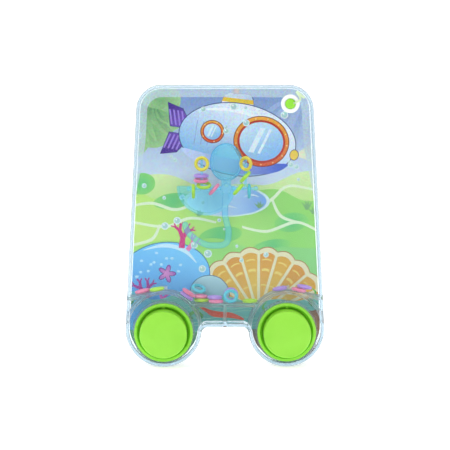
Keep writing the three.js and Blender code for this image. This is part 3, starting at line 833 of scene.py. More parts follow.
def stroke(points, widths, colour, steps=8):
    """A painted ribbon along a smooth path."""
    paint(ribbon(curve(points, steps), widths), colour)


paint([(-CARD_HALF, -2), (CARD_HALF, -2), (CARD_HALF, CARD_TOP), (-CARD_HALF, CARD_TOP)],
      fade((206, 219, 236), (136, 160, 206), (0, 90), (0, 122)))
for foot, width in ((30, 5), (14, 7), (-9, 6), (-30, 7)):
    paint([(31 + foot * 0.2, 122), (34 + foot * 0.2, 122), (foot + width, 84), (foot, 84)],
          fade((208, 220, 238), (160, 180, 218), (0, 88), (0, 121)))
paint(ground(86, [(3.5, 1, 4.6), (1.2, 3, 0.4)]), fade((222, 238, 176), (190, 228, 132), (0, 90), (0, 74)))
paint(ground(79, [(3, 1.4, 0.3), (1, 4, 1)]), fade((194, 232, 118), (152, 218, 110), (-20, 82), (10, 62)))
print("inks so far:", len(prints))

# %% Weedy reef at the top left
LEAF_DARK, LEAF, LEAF_PALE = (98, 152, 104), (126, 180, 118), (168, 206, 146)
for x, z, size, turn in ((-37, 118, 11, 20), (-29, 123, 9, -10), (-41, 104, 8, 60), (-25, 114, 7, 30),
                         (-33, 108, 9, 0)):
    paint(oval(x, z, size, size * 0.82, turn), halo(LEAF, LEAF_PALE, x, z, size))
for i in range(15):
    angle = math.radians(205 + 9.5 * i)
    root = (-40 + 0.7 * i, 121 - 0.2 * i)
    length = 14 + 5 * math.sin(1.9 * i)
    tip = polar(*root, length, angle)
    middle = ((root[0] + tip[0]) / 2 + 1.6 * math.sin(angle), (root[1] + tip[1]) / 2 - 1.6 * math.cos(angle))
    stroke([root, middle, tip], [0.3, 1.5, 1.2, 0.1],
           fade(LEAF_DARK if i % 2 else LEAF, LEAF_PALE, root, tip))
print("inks with weedy reef:", len(prints))

# %% Diving boat
HULL, HULL_TURN = (6.0, 104.5), -9.0
HULL_WIDE, HULL_HIGH = 27.0, 16.5
LINE = (66, 72, 128)


def hull_point(across, up):
    """A point of the boat: across runs towards its bow, at the right."""
    angle = math.radians(HULL_TURN)
    return (HULL[0] + across * math.cos(angle) - up * math.sin(angle),
            HULL[1] + across * math.sin(angle) + up * math.cos(angle))


def on_hull(points):
    """Points drawn in the boat's own directions, on the card."""
    return [hull_point(x, z) for x, z in points]


tower = [(-11, 12), (6, 13), (4, 19.5), (2.6, 21), (-7, 20.6), (-9, 19)]
outlined(on_hull(tower), fade((240, 242, 250), (170, 184, 224), hull_point(-8, 20), hull_point(4, 12)), LINE)
paint(on_hull([(-9.9, 16.4), (4.8, 17), (4.4, 19), (-9.4, 18.2)]), (236, 196, 62))
for turn in (-1, 1):
    fin = [(-21, 1.5 * turn), (-27, 10 * turn), (-34, 12 * turn), (-31.5, 1.5 * turn)]
    fin_ink = fade((132, 96, 200), (76, 44, 142), hull_point(-24, 2), hull_point(-33, 10 * turn))
    outlined(on_hull(fin), fin_ink, LINE)
    for k in range(4):
        x = -24.8 - 1.9 * k
        stripe = [(x, 2.2 * turn), (x - 0.8, 2.2 * turn), (x - 2.8, 9 * turn), (x - 2.0, 9 * turn)]
        paint(on_hull(stripe), (164, 132, 220))
outlined(oval(*HULL, HULL_WIDE, HULL_HIGH, HULL_TURN, 72),
         fade((238, 242, 250), (120, 184, 232), hull_point(4, 13), hull_point(-8, -17)), LINE, 0.4)
paint(on_hull([(-25.5 * math.cos(t), -6.2 - 9.4 * math.sin(t)) for t in np.linspace(0.18, math.pi - 0.18, 24)]
              + [(23.6 - 47.2 * t, -7.6 - 1.7 * math.sin(math.pi * t)) for t in np.linspace(0, 1, 24)]),
      fade((204, 216, 250), (78, 106, 206), hull_point(-18, -8), hull_point(20, -8)))
gloss = [(-20 + 2 * i, 10.6 + 2.4 * math.sin(math.pi * i / 16)) for i in range(17)]
paint(on_hull(ribbon(gloss, [0.1, 0.8, 0.8, 0.1])), (250, 252, 255))
for k in range(3):
    seam = [(-19.5 + 3 * k, -5 + 11 * t) for t in np.linspace(0, 1, 8)]
    paint(on_hull(ribbon(seam, [0.18, 0.18])), (150, 170, 214))
print("inks with boat:", len(prints))


# %% Windows, lamp and pipe
def window(across, up, wide, high, rim):
    """A round window: an orange rim in two tones, pale glass with slanting gleams, and rivets."""
    x, z = hull_point(across, up)
    outlined(oval(x, z, wide, high, HULL_TURN, 60),
             fade((250, 176, 66), (222, 84, 46), (x, z + high), (x, z - high)), (120, 44, 44), 0.35)
    paint(oval(x, z, wide - rim * 0.6, high - rim * 0.6, HULL_TURN, 60), (196, 58, 44))
    paint(oval(x, z, wide - rim, high - rim, HULL_TURN, 60),
          fade((206, 230, 246), (112, 178, 236), (x - wide / 3, z + high / 2), (x + wide / 3, z - high)))
    for shift, width in ((-0.42, 0.2), (-0.08, 0.1)):
        base = across + wide * shift
        gleam = [(base, up - high * 0.5), (base + wide * width, up - high * 0.5),
                 (base + wide * (width + 0.3), up + high * 0.55), (base + wide * 0.3, up + high * 0.55)]
        paint(on_hull(gleam), (232, 243, 250))
    rivets = int(wide * 1.1)
    for i in range(rivets):
        angle = 2 * math.pi * i / rivets
        out, rise = (wide - rim * 0.3) * math.cos(angle), (high - rim * 0.3) * math.sin(angle)
        paint(oval(*hull_point(across + out, up + rise), 0.3, 0.3, 0, 8), (255, 222, 160))


window(11.0, 0.8, 12.6, 11.4, 2.5)
window(-12.0, 1.8, 5.2, 5.0, 1.3)
pipe = curve([(-4, 20.6), (-4, 23.4), (-1.6, 25.3), (2.6, 25.2)], 6)
outlined(on_hull(ribbon(pipe, [1.1, 1.1, 1.1, 1.4])),
         fade((250, 182, 70), (236, 118, 50), hull_point(2, 25), hull_point(-4, 20)), (140, 60, 44), 0.3)
lamp_glow = hull_point(27, -3)
paint([lamp_glow, (45, 92), (45, 106)], fade((248, 240, 190), (206, 222, 232), lamp_glow, (45, 99)))
outlined(oval(*lamp_glow, 1.9, 2.3, HULL_TURN, 20), (244, 206, 84), LINE, 0.3)
print("inks with windows:", len(prints))

# %% Green hills with paths
paint(ground(68, [(3.2, 1.2, 0.4), (1, 3.3, 0)]), fade((204, 234, 124), (150, 220, 112), (-40, 70), (30, 60)))
for x, z, wide, high in ((31, 66, 8, 4.5), (-24, 76, 9, 3.6), (-2, 60, 10, 4), (-38, 84, 6, 5),
                         (22, 55, 9, 3)):
    paint(oval(x, z, wide, high, 8), halo((96, 200, 124), (142, 217, 114), x, z, wide))
for points in ([(46, 80), (30, 83), (22, 77), (12, 71), (-4, 73)], [(46, 60), (34, 66), (20, 62), (8, 64)],
               [(-10, 77), (-22, 72), (-34, 75), (-46, 73)], [(22, 77), (26, 69), (34, 66)],
               [(-4, 66), (-16, 68), (-28, 64), (-46, 67)], [(-30, 65), (-34, 58), (-46, 55)]):
    stroke(points, [0.5, 0.75, 0.5], (228, 242, 206))
for share, colours in ((1, ((226, 242, 214), (214, 236, 240))), (0.92, ((230, 244, 252), (124, 176, 240)))):
    paint(oval(1, 76, 20 * share, 7.4 * share), fade(*colours, (-12, 78), (18, 74)))
for points in ([(-13, 78), (-9, 78.8), (-5, 78)], [(-4, 72.6), (1, 73.6), (6, 72.6)],
               [(9, 78), (12.5, 78.8), (16, 78)]):
    stroke(points, [0.05, 0.4, 0.05], (228, 242, 252), 6)
for x, z, high in ((38, 72, 5), (41, 70, 4), (-42, 78, 4.5), (-12, 69, 3.5), (16, 73, 3.5)):
    for k in range(4):
        tip = (x + (k - 1.5) * 1.5, z + high - abs(k - 1.5))
        paint(ribbon([(x, z), ((x + tip[0]) / 2 + 0.2, (z + tip[1]) / 2), tip], [0.5, 0.4, 0.05]), LEAF)
paint(ground(56, [(2.4, 1.1, 2.6), (0.8, 3, 2)]), fade((172, 228, 112), (140, 214, 128), (-20, 60), (20, 40)))
print("inks with hills:", len(prints))

# %% Great shell at the lower right
HINGE = (16.0, 22.0)
FAN_FROM, FAN_TO, FAN_RADIUS, FAN_RIBS = 8.0, 156.0, 31.0, 9
FAN_STEP = (FAN_TO - FAN_FROM) / FAN_RIBS


def fan_edge(degrees, share=1.0):
    """A point of the shell: its edge swells between the ribs."""
    swell = abs(math.sin(math.pi * (degrees - FAN_FROM) / FAN_STEP)) * 1.6
    angle = math.radians(degrees)
    reach = (FAN_RADIUS + swell) * share
    return polar(*HINGE, reach, angle)


fan = [HINGE] + [fan_edge(a) for a in np.linspace(FAN_FROM, FAN_TO, 73)]
outlined(fan, (236, 226, 186), (176, 118, 48), 0.4)
for rib in range(FAN_RIBS):
    start, end = FAN_FROM + rib * FAN_STEP + 1.3, FAN_FROM + (rib + 1) * FAN_STEP - 1.3
    spread = np.linspace(start, end, 7)
    foot = fan_edge((start + end) / 2, 0.14)
    warm = ((240, 206, 92), (228, 168, 60)) if rib % 2 else ((238, 192, 84), (224, 152, 58))
    paint([foot] + [fan_edge(a, 0.93) for a in spread], fade(*warm, foot, fan_edge((start + end) / 2, 0.93)))
    for low, high in ((0.45, 0.47), (0.66, 0.7), (0.82, 0.84)):
        paint([fan_edge(a, high) for a in spread[1:-1]] + [fan_edge(a, low) for a in spread[-2:0:-1]],
              (244, 214, 116))
paint(oval(*HINGE, 5.4, 2.8, -12), halo((244, 226, 160), (226, 180, 74), *HINGE, 5))
print("inks with shell:", len(prints))

# %% Blue rock with coral at the lower left
for rock, inks, rim in (((-28, 41, 21, 15.5, 8, 64), ((124, 206, 250), (66, 152, 226), (-24, 56), (-34, 26)),
                         (36, 84, 156)),
                        ((-7, 33, 9, 8, -6, 48), ((176, 214, 222), (106, 170, 184), (-8, 40), (-10, 25)),
                         (70, 116, 146))):
    outlined(oval(*rock), fade(*inks), rim)
stroke([(-13, 47), (-19, 53), (-28, 55.2), (-38, 53)], [0.1, 1.0, 0.9, 0.1], (206, 236, 252))
for i in range(13):
    angle, reach = math.radians(20 + 13 * i), 9 + 3 * math.sin(2.3 * i)
    paint(oval(*polar(-30, 40, reach, angle), 0.8, 0.65, 0, 12), (176, 222, 250))


def coral(x, z, length, lean, depth, colour):
    """A branch that splits in two, each shorter than the last."""
    tip = polar(x, z, length, math.radians(lean))
    half = 0.35 + 0.34 * depth
    paint(ribbon([(x, z), ((x + tip[0]) / 2, (z + tip[1]) / 2), tip], [half, half, half * 0.86]), colour)
    paint(oval(*tip, half * 0.9, half * 0.9, 0, 14), colour)
    if depth:
        coral(*tip, length * 0.74, lean + 27, depth - 1, colour)
        coral(*tip, length * 0.7, lean - 30, depth - 1, colour)


for branch in ((-20, 54, 4.8, 84, 3, (214, 56, 132)), (-17.4, 53, 3.4, 52, 2, (238, 132, 182)),
               (-36, 27, 5.2, 100, 3, (164, 44, 150)), (-30, 26, 3.8, 78, 2, (208, 92, 184))):
    coral(*branch)
star = []
for i in range(40):
    angle = 2 * math.pi * i / 40 + 0.3
    reach = 4.2 * (0.66 + 0.34 * math.cos(5 * angle))
    star.append(polar(-27, 42, reach, angle))
outlined(star, halo((226, 150, 210), (150, 70, 176), -27, 42, 4.6), (92, 40, 130), 0.3)
print("inks with reef:", len(prints))

# %% Seabed and weeds
paint(ground(30.5, [(1.6, 1.3, 2.9), (0.9, 4.2, 1)]), fade((120, 200, 186), (76, 168, 164), (0, 31), (0, 18)))
for k in range(9):
    line = [(-44 + 2.2 * i, 26.5 - 2.4 * k + 0.8 * math.sin(0.5 * i + 1.7 * k)) for i in range(41)]
    paint(ribbon(line, [0.12, 0.22, 0.12]), (132, 200, 182))
paint(oval(-42, 22, 10, 12, 10), halo((64, 156, 224), (96, 190, 214), -43, 21, 11))
paint(ground(14, [(2.6, 2, 2.1)]), fade((86, 166, 124), (54, 126, 108), (0, 16), (0, 2)))
paint(oval(43, 14, 9, 11, 0), halo((160, 108, 70), (130, 90, 62), 43, 14, 9))
paint(oval(14, 9, 7, 7, 0), halo((134, 44, 52), (92, 100, 84), 14, 7, 8))
stroke([(9, 20.6), (3, 22.6), (-5, 23.4), (-12, 26.5)], [0.4, 1.3, 1.5, 0.2], (220, 74, 44), 10)
for x, z, height, lean in ((19, 21, 8, 1.2), (-15, 20.5, 7, -1.5), (-12, 21, 5, 1.2), (-44, 28, 9, 1.4),
                           (41, 27, 9, -1.3)):
    path = [(x + lean * math.sin(0.9 * k), z + height * k / 8) for k in range(9)]
    paint(ribbon(path, [0.8, 0.9, 0.5, 0.05]), fade((42, 140, 84), (116, 196, 72), (x, z), (x, z + height)))
print("inks with seabed:", len(prints))

# %% Bubbles
bubbles = np.random.default_rng(7)
for i in range(30):
    x, z = bubbles.uniform(-40, 40), bubbles.uniform(44, 120)
    size = bubbles.uniform(0.5, 1.9)
    paint(oval(x, z, size, size, 0, 20), (226, 238, 238))
    paint(oval(x, z, size * 0.74, size * 0.74, 0, 16), (176, 212, 206))
    paint(oval(x - size * 0.25, z + size * 0.3, size * 0.24, size * 0.24, 0, 8), (250, 252, 250))
print("inks in all:", len(prints))

# %% [markdown]
# Now the outlines meet the card. The triangulation takes the card's own outline and every motif as faces,
# and says for each triangle which of them it lies in. The highest one gives the ink. A loose grid of extra
# points keeps triangles small, so that a fade is smooth inside a large motif.

# %% Cut the card along its outlines
CARD_INSET = SIDE_WALL + 0.2 * MM
GRID, GRID_SHIFT, SNAP = 2.6, 0.37, 1e-4
PAPER = ink(232, 234, 228)
# The pale strip near the top of the card is painted light: a painted sheen that stands in for the clear side
# walls seen through the rounded front edge.
SHEEN_INK, SHEEN_SHARE = ink(206, 218, 228), 0.72
BAND_OUTER, BAND_SIDE, BAND_TOP, BAND_END, BAND_FULL, BAND_STEP = mm(1.0, 5.0, 1.1, 68, 108, 3)


def smooth_share(value, start, end):
    """How far a value is from start to end, eased at both ends."""
    share = min(max((value - start) / (end - start), 0), 1)
    return share * share * (3 - 2 * share)


def sheen_outline():
    """A strip of painted sheen along the card's edge: wide at the top, and running out halfway down each
    side.
    """
    outer, inner = case_outline(BAND_OUTER), case_outline(BAND_SIDE)
    outside, inside = [], []
    for k in range(len(outer) - 1):
        gap = (Vector(outer[k + 1]) - Vector(outer[k])).length
        steps = max(1, int(gap / BAND_STEP))
        for i in range(steps):
            one = Vector(outer[k]).lerp(Vector(outer[k + 1]), i / steps)
            two = Vector(inner[k]).lerp(Vector(inner[k + 1]), i / steps)
            two.y -= BAND_TOP * smooth_share(two.y, BAND_FULL, shell_high.z - BAND_SIDE)
            if one.y > BAND_END:
                outside.append(tuple(one / MM))
                inside.append(tuple(one.lerp(two, smooth_share(one.y, BAND_END, BAND_FULL)) / MM))
    return turned_left(outside + inside[::-1])


def card_faces():
    """The picture's triangles: points in millimetres, faces, each one's topmost ink, and if it takes the
    painted sheen.
    """
    card_edge = [(x / MM, z / MM) for x, z in case_outline(CARD_INSET)]
    outlines = [card_edge] + [shape for shape, _ in prints] + [sheen_outline()]
    sheen_layer = len(outlines) - 1
    points, faces = [], []
    for outline in outlines:
        faces.append(list(range(len(points), len(points) + len(outline))))
        points += [Vector(p) for p in outline]
    for i in range(int(2 * CARD_HALF / GRID)):
        for j in range(int(CARD_TOP / GRID)):
            points.append(Vector((-CARD_HALF + GRID * (i + 0.5 * (j % 2)), GRID * j + GRID_SHIFT)))
    found, _, triangles, _, _, sources = delaunay_2d_cdt(points, [], faces, 1, SNAP)
    kept = [(triangle, max(set(layers) - {sheen_layer}) - 1, sheen_layer in layers)
            for triangle, layers in zip(triangles, sources) if 0 in layers and set(layers) - {0, sheen_layer}]
    return found, *zip(*kept)


card_points, card_triangles, card_inks, card_sheen = card_faces()
print("card points, triangles, inks in sight:", len(card_points), len(card_triangles), len(set(card_inks)))


# %% Build the card
def build_card():
    """The printed sheet: a front with the picture, a bare back and a thin edge."""
    bm = bmesh.new()
    used = sorted({i for t in card_triangles for i in t})
    place = {old: new for new, old in enumerate(used)}
    fronts = [bm.verts.new((card_points[i].x * MM, card_low.y, card_points[i].y * MM)) for i in used]
    backs = [bm.verts.new((card_points[i].x * MM, card_high.y, card_points[i].y * MM)) for i in used]
    layer = bm.loops.layers.float_color.new("print")
    edge_count = {}
    for triangle, top, pale in zip(card_triangles, card_inks, card_sheen):
        a, b, c = (place[i] for i in triangle)
        front = bm.faces.new((fronts[a], fronts[b], fronts[c]))
        back = bm.faces.new((backs[c], backs[b], backs[a]))
        for loop in front.loops:
            colour = Vector(prints[top][1](loop.vert.co.x / MM, loop.vert.co.z / MM))
            # Inside the strip the ink is lightened towards a pale blue-grey: painted sheen.
            loop[layer] = colour.lerp(Vector(SHEEN_INK), SHEEN_SHARE if pale else 0)
        for loop in back.loops:
            loop[layer] = PAPER
        for one, two in ((a, b), (b, c), (c, a)):
            key = (min(one, two), max(one, two))
            edge_count[key] = edge_count.get(key, 0) + 1
    for (one, two), count in edge_count.items():
        if count == 1:
            side = bm.faces.new((fronts[one], fronts[two], backs[two], backs[one]))
            for loop in side.loops:
                loop[layer] = PAPER
    bmesh.ops.recalc_face_normals(bm, faces=bm.faces)
    mesh = bpy.data.meshes.new("printed_card")
    bm.to_mesh(mesh)
    bm.free()
    return new_object("printed_card", mesh)


# %% Print finish
GLITTER_HEIGHTS, GLITTER_SHARES = (0.074, 0.112), (0.08, 0.3)
FLAKE_SCALE, GRAIN_SCALE = 1700.0, 1500.0
GRAIN_SHARES, FLAKE_ROUGHNESS = (1.05, 1.11), (0.6, 0.28)


def card_material():
    """Inks from the mesh, with a fine print grain and a film of coloured glitter, strongest near the top."""
    material, tree, shader, _ = start_material("card_print")
    inks = add_node(tree, "ShaderNodeVertexColor", layer_name="print")
    place = add_node(tree, "ShaderNodeTexCoord").outputs["Object"]
    split = add_node(tree, "ShaderNodeSeparateXYZ", place)
    front = maths(tree, "LESS_THAN", split.outputs["Y"], (card_low.y + card_high.y) / 2)
    film = maths(tree, "MULTIPLY", ramp(tree, split.outputs["Z"], *GLITTER_HEIGHTS, *GLITTER_SHARES), front)
    flakes = add_node(tree, "ShaderNodeTexVoronoi", place, Scale=FLAKE_SCALE, Randomness=1.0).outputs["Color"]
    spark = vectors(tree, "SCALE", vectors(tree, "SUBTRACT", flakes, (0.5, 0.5, 0.5)), Scale=film)
    grain = add_node(tree, "ShaderNodeTexNoise", place, Scale=GRAIN_SCALE, Detail=3.0)
    lift = vectors(tree, "ADD", spark, ramp(tree, grain, 0.3, 0.7, *GRAIN_SHARES))
    green = add_node(tree, "ShaderNodeSeparateColor", flakes).outputs["Green"]
    fill(shader, Base_Color=vectors(tree, "MULTIPLY", inks, lift), Specular_IOR_Level=0.1,
         Roughness=ramp(tree, green, 0.0, 1.0, *FLAKE_ROUGHNESS))
    return material


card = build_card()
dress(card, card_material(), "case", "printed_card", "picture_card")

# %% [markdown]
# ## Buttons
#
# Each button is a collar in the front wall and a hollow cap that slides in it. Both are turned shapes.
# What makes them read as soft moulded plastic is the edge: the cap has a generous round, the collar a
# narrow lip with a groove that slopes down behind it.

# %% Collars, caps and seals
cap_low, cap_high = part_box("button_cap_right")
CAP_FRONT = cap_low.y
CAP_RADIUS, CAP_DOME, CAP_EDGE, CAP_WALL = mm(10.85, 0.5, 1.5, 1.2)
COLLAR_RADIUS = (ring_high.x - ring_low.x) / 2
COLLAR_FRONT, COLLAR_BACK = ring_low.y, ring_high.y
COLLAR_BORE, COLLAR_TUBE, LIP_WIDTH, GROOVE_DEPTH, KEY_WIDTH = mm(11.1, 12.0, 1.35, 2.2, 0.9)
GROOVE_SHARE, DOME_SHARE = 0.7, 0.86


def collar_profile():
    """Section of a collar: tube, groove that slopes down behind the lip, and flange."""
    lip_inner = COLLAR_RADIUS - LIP_WIDTH
    points = [
        (COLLAR_BORE, COLLAR_BACK), (COLLAR_BORE, COLLAR_FRONT + GROOVE_DEPTH),
        (lip_inner - 0.5 * MM, COLLAR_FRONT + GROOVE_DEPTH * GROOVE_SHARE), (lip_inner, COLLAR_FRONT),
        (COLLAR_RADIUS, COLLAR_FRONT), (COLLAR_RADIUS, FRONT_Y), (COLLAR_TUBE, FRONT_Y),
        (COLLAR_TUBE, COLLAR_BACK), (COLLAR_BORE, COLLAR_BACK),
    ]
    return rounded(points, mm(0, 0.2, 0.5, 0.3, 0.45, 0, 0, 0, 0))


def cap_profile():
    """Section of a push cap: slightly domed roof, round edge, skirt with a lip, and post."""
    roof = CAP_FRONT + CAP_DOME + CAP_WALL
    back = cap_high.y
    lip_front = back - 0.7 * MM
    dome = [(CAP_RADIUS * share * DOME_SHARE, CAP_FRONT + CAP_DOME * share ** 2)
            for share in (0, 0.25, 0.5, 0.75, 1)]
    post = 2.4 * MM
    outside = dome + rounded([dome[-1], (CAP_RADIUS, CAP_FRONT + CAP_DOME), (CAP_RADIUS, lip_front)],
                             [0, CAP_EDGE, 0], 8)[1:]
    inside = [(cap_high.x - FOOT_X, lip_front), (cap_high.x - FOOT_X, back), (CAP_RADIUS - CAP_WALL, back),
              (CAP_RADIUS - CAP_WALL, roof), (post, roof), (post, back), (0, back)]
    return outside + inside


def bellows_profile():
    """Section of a seal: a thin web with one fold between its rim and the cap's post."""
    low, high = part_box("bellows_right")
    rim_outer = (high.x - low.x) / 2
    rim_inner = rim_outer - 1.7 * MM
    wall, fold, post = mm(0.7, 1.4, 2.4)
    web = high.y - fold - wall
    middle = (CAP_RADIUS + post) / 2
    points = [(0, web), (post, web), (middle, web + fold), (CAP_RADIUS, web), (rim_inner, web),
              (rim_inner, low.y), (rim_outer, low.y), (rim_outer, web + wall), (CAP_RADIUS, web + wall),
              (middle, web + wall + fold), (post, web + wall), (0, web + wall)]
    return rounded(points, mm(0, 0.6, 1.2, 0.6, 0.2, 0, 0, 0.3, 0.6, 1.2, 0.6, 0))


for label, side in (("left", -1), ("right", 1)):
    x = side * FOOT_X
    collar = turned(f"collar_{label}", collar_profile(), x, BUTTON_Z)
    key = slab("key", x - KEY_WIDTH / 2, x + KEY_WIDTH / 2, COLLAR_FRONT + 0.5 * MM,
               COLLAR_FRONT + GROOVE_DEPTH, BUTTON_Z + COLLAR_BORE + 0.1 * MM,
               BUTTON_Z + COLLAR_BORE + 0.9 * MM)
    combine(collar, [key], "UNION")
    resharpen(collar)
    dress(collar, lime_satin, "case", "lime_plastic", f"button_ring_{label}")
    cap = turned(f"cap_{label}", cap_profile(), x, BUTTON_Z)
    dress(cap, lime_satin, f"button_{label}", "lime_plastic", f"button_cap_{label}")
    seal = turned(f"seal_{label}", bellows_profile(), x, BUTTON_Z)
    seal.data.materials.append(seal_clear)
    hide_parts(f"bellows_{label}")
    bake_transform(seal)

# %% [markdown]
# ## Filler
#
# The tank is filled through a white socket at the top right, closed by a soft lime plug with a small
# pull tab.

# %% Socket and plug
SOCKET_FRONT = socket_low.y
SOCKET_RADIUS = (socket_high.x - socket_low.x) / 2
plug_low, plug_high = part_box("fill_plug")
PLUG_RADIUS = (plug_high.x - plug_low.x) / 2
STEM_RADIUS, BORE_RADIUS, TUBE_RADIUS = mm(1.6, 1.75, 2.85)
HEAD_BORE = PLUG_RADIUS + 0.15 * MM
HEAD_SEAT = SOCKET_FRONT + 0.73 * MM
HEAD_BACK = HEAD_SEAT - 0.1 * MM

socket_profile = rounded([
    (BORE_RADIUS, socket_high.y), (BORE_RADIUS, HEAD_SEAT), (HEAD_BORE, HEAD_SEAT), (HEAD_BORE, SOCKET_FRONT),
    (SOCKET_RADIUS, SOCKET_FRONT), (SOCKET_RADIUS, FRONT_Y), (TUBE_RADIUS, FRONT_Y),
    (TUBE_RADIUS, socket_high.y), (BORE_RADIUS, socket_high.y)], mm(0, 0, 0, 0.3, 0.6, 0, 0, 0, 0))
socket = turned("filler_socket", socket_profile, PLUG_X, PLUG_Z, 64)
dress(socket, socket_white, "case", "white_plastic", "fill_socket")

plug_profile = rounded([
    (0, plug_low.y), (PLUG_RADIUS, plug_low.y), (PLUG_RADIUS, HEAD_BACK), (STEM_RADIUS, HEAD_BACK),
    (STEM_RADIUS, plug_high.y), (0, plug_high.y)], mm(0, 0.45, 0, 0, 0.4, 0))
plug = turned("filler_plug", plug_profile, PLUG_X, PLUG_Z, 64)
plug.data.materials.append(lime_satin)

STRAP_RADIUS = 0.42 * MM
TAB_FRONT, TAB_BACK = FRONT_Y - 1.0 * MM, FRONT_Y - 0.15 * MM
over, beside = SOCKET_FRONT - 0.6 * MM, TAB_FRONT + STRAP_RADIUS
strap_way = [(PLUG_X + x * MM, y, PLUG_Z + z * MM) for x, y, z in (
    (1.5, plug_low.y + 0.05 * MM, 0.2), (2.3, over, 0.5), (4.0, over, 1.3), (4.5, (over + beside) / 2, 2.4),
    (4.0, beside, 3.6), (3.2, beside, 4.6))]
tab_outline = [(2.3, 5.1), (2.7, 5.75), (3.35, 5.9), (6.6, 3.1), (6.7, 2.55), (6.2, 2.3), (5.7, 2.45),
               (3.2, 4.35)]
strap = tube(curve(strap_way, 6), STRAP_RADIUS)
tab = prism("tab", [(PLUG_X + x * MM, PLUG_Z + z * MM) for x, z in tab_outline], TAB_FRONT, TAB_BACK)
for part in (strap, tab):
    part.data.materials.append(lime_pale)
combine(strap, [tab], "UNION")
combine(plug, [strap], "UNION", materials="TRANSFER")
resharpen(plug)
dress(plug, None, "plug", "lime_plastic", "fill_plug")

# %% [markdown]
# ## Peg figure
#
# The figure in the tank is one clear cyan moulding: an egg-shaped dome, a scalloped bowl, two arms with
# pegs and a long hooked stem. Its parts are modelled one by one as smooth solids, joined into one shape,
# and remeshed on a fine grid. The remesh does what a mould does: it gives every inner corner a small
# fillet, and it leaves one clean skin, which see-through plastic needs.

# %% Parts of the figure
FIGURE_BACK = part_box("peg_figure")[1].y
FIGURE_X = 0.7 * MM
HUB_Z = 82.2 * MM
PEG_Y = FIGURE_BACK - 6.45 * MM
ARM_RADIUS = 0.6 * MM
LEFT_END, RIGHT_END, LEFT_PEG, RIGHT_PEG = mm(-16.5, 14.21, -10.6, 9.56)
PEG_TOP, NIB_Z, NIB_LENGTH = mm(96.3, 94.9, 2.9)


def ball(x, y, z, rx, ry, rz, steps=32):
    """A round or oval ball."""
    bm = bmesh.new()
    bmesh.ops.create_uvsphere(bm, u_segments=steps, v_segments=steps // 2, radius=1)
    bmesh.ops.scale(bm, vec=(rx, ry, rz), verts=bm.verts)
    bmesh.ops.translate(bm, vec=(x, y, z), verts=bm.verts)
    return new_object("ball", finish_mesh(bm, "ball"))


def bowl_parts():
    """A half disc with a raised rim and ribs that spread from its middle."""
    x, z, radius, rim, ribs = -8.6 * MM, HUB_Z + 0.9 * MM, 13.5 * MM, 1.2 * MM, 5
    outer = arc(x, z, radius, math.pi, 2 * math.pi, 48)
    inner = arc(x, z, radius - rim, math.pi, 2 * math.pi, 48)
    parts = [prism("bowl", outer, FIGURE_BACK - 1.4 * MM, FIGURE_BACK),
             prism("bowl_rim", outer + inner[::-1], FIGURE_BACK - 2.8 * MM, FIGURE_BACK)]
    for i in range(1, ribs + 1):
        angle = math.pi + math.pi * i / (ribs + 1)
        way = Vector((math.cos(angle), math.sin(angle)))
        side = Vector((-way.y, way.x)) * 0.45 * MM
        start, end = Vector((x, z)), Vector((x, z)) + way * (radius - rim / 2)
        outline = [tuple(start + side), tuple(start - side), tuple(end - side), tuple(end + side)]
        parts.append(prism("rib", outline, FIGURE_BACK - 2 * MM, FIGURE_BACK))
    return parts


def star_outline(x, z, outer, inner, tips=5):
    """A star with its tips at the outer radius and its notches at the inner one."""
    return [polar(x, z, inner if i % 2 else outer, math.pi / 2 + i * math.pi / tips)
            for i in range(2 * tips)]


def dome_part():
    """The hollow egg, open at the back, with its neck."""
    z = HUB_Z + 11.9 * MM
    wide, high, deep, wall = mm(7.6, 8.9, 5.5, 1.2)
    outer = ball(FIGURE_X, FIGURE_BACK, z, wide, deep, high, 48)
    inner = ball(FIGURE_X, FIGURE_BACK, z, wide - wall, deep - wall, high - wall, 48)
    reach = 12 * MM
    behind = slab("behind", FIGURE_X - reach, FIGURE_X + reach, FIGURE_BACK, FIGURE_BACK + reach,
                  z - reach, z + reach)
    combine(outer, [inner, behind], "DIFFERENCE")
    neck = slab("neck", FIGURE_X - 2.2 * MM, FIGURE_X + 2.2 * MM, FIGURE_BACK - 1.4 * MM, FIGURE_BACK,
                HUB_Z, z - high + wall)
    return [outer, neck]


def hook_part():
    """The stem that runs down from the hub and curves up again into an open hook."""
    shares = [(0, 1), (-0.03, 0.57), (0.01, 0.4), (0.05, 0.28), (0.052, 0.17), (0.02, 0.06), (-0.09, 0.005),
              (-0.26, -0.005), (-0.46, 0.005), (-0.67, 0.07), (-0.83, 0.155), (-0.94, 0.24), (-1, 0.36)]
    base, reach, radius = SHELF_TOP + 26.3 * MM, 19 * MM, 1.45 * MM
    y = FIGURE_BACK - radius - 0.1 * MM
    flat_path = curve([(FIGURE_X + reach * a, base + (HUB_Z - base) * b) for a, b in shares], 6)
    points = [(x, y, z) for x, z in flat_path]
    return [tube(points, radius), ball(points[-1][0], y, points[-1][2], radius, radius, radius)]


def capped_rod(start, end):
    """A rod as thick as an arm, with a ball on its end."""
    return [tube([start, end], ARM_RADIUS), ball(*end, ARM_RADIUS, ARM_RADIUS, ARM_RADIUS, 16)]


def arm_parts():
    """The hub with its star, the cross arms, and a peg with a nib on each arm."""
    hub_front = PEG_Y - 1.2 * MM
    parts = [bar("hub", FIGURE_X, HUB_Z, 2.4 * MM, hub_front, FIGURE_BACK, 40),
             prism("star", star_outline(FIGURE_X, HUB_Z, 3.4 * MM, 1.7 * MM), hub_front - 1.4 * MM, PEG_Y),
             tube([(LEFT_END, PEG_Y, HUB_Z), (RIGHT_END, PEG_Y, HUB_Z)], ARM_RADIUS)]
    knob = 1.1 * MM
    parts += [ball(x, PEG_Y, HUB_Z, knob, knob, knob) for x in (LEFT_END, RIGHT_END)]
    for x in (LEFT_PEG, RIGHT_PEG):
        parts += capped_rod((x, PEG_Y, HUB_Z), (x, PEG_Y, PEG_TOP))
        parts += capped_rod((x, PEG_Y, NIB_Z), (x, PEG_Y - NIB_LENGTH, NIB_Z))
    return parts


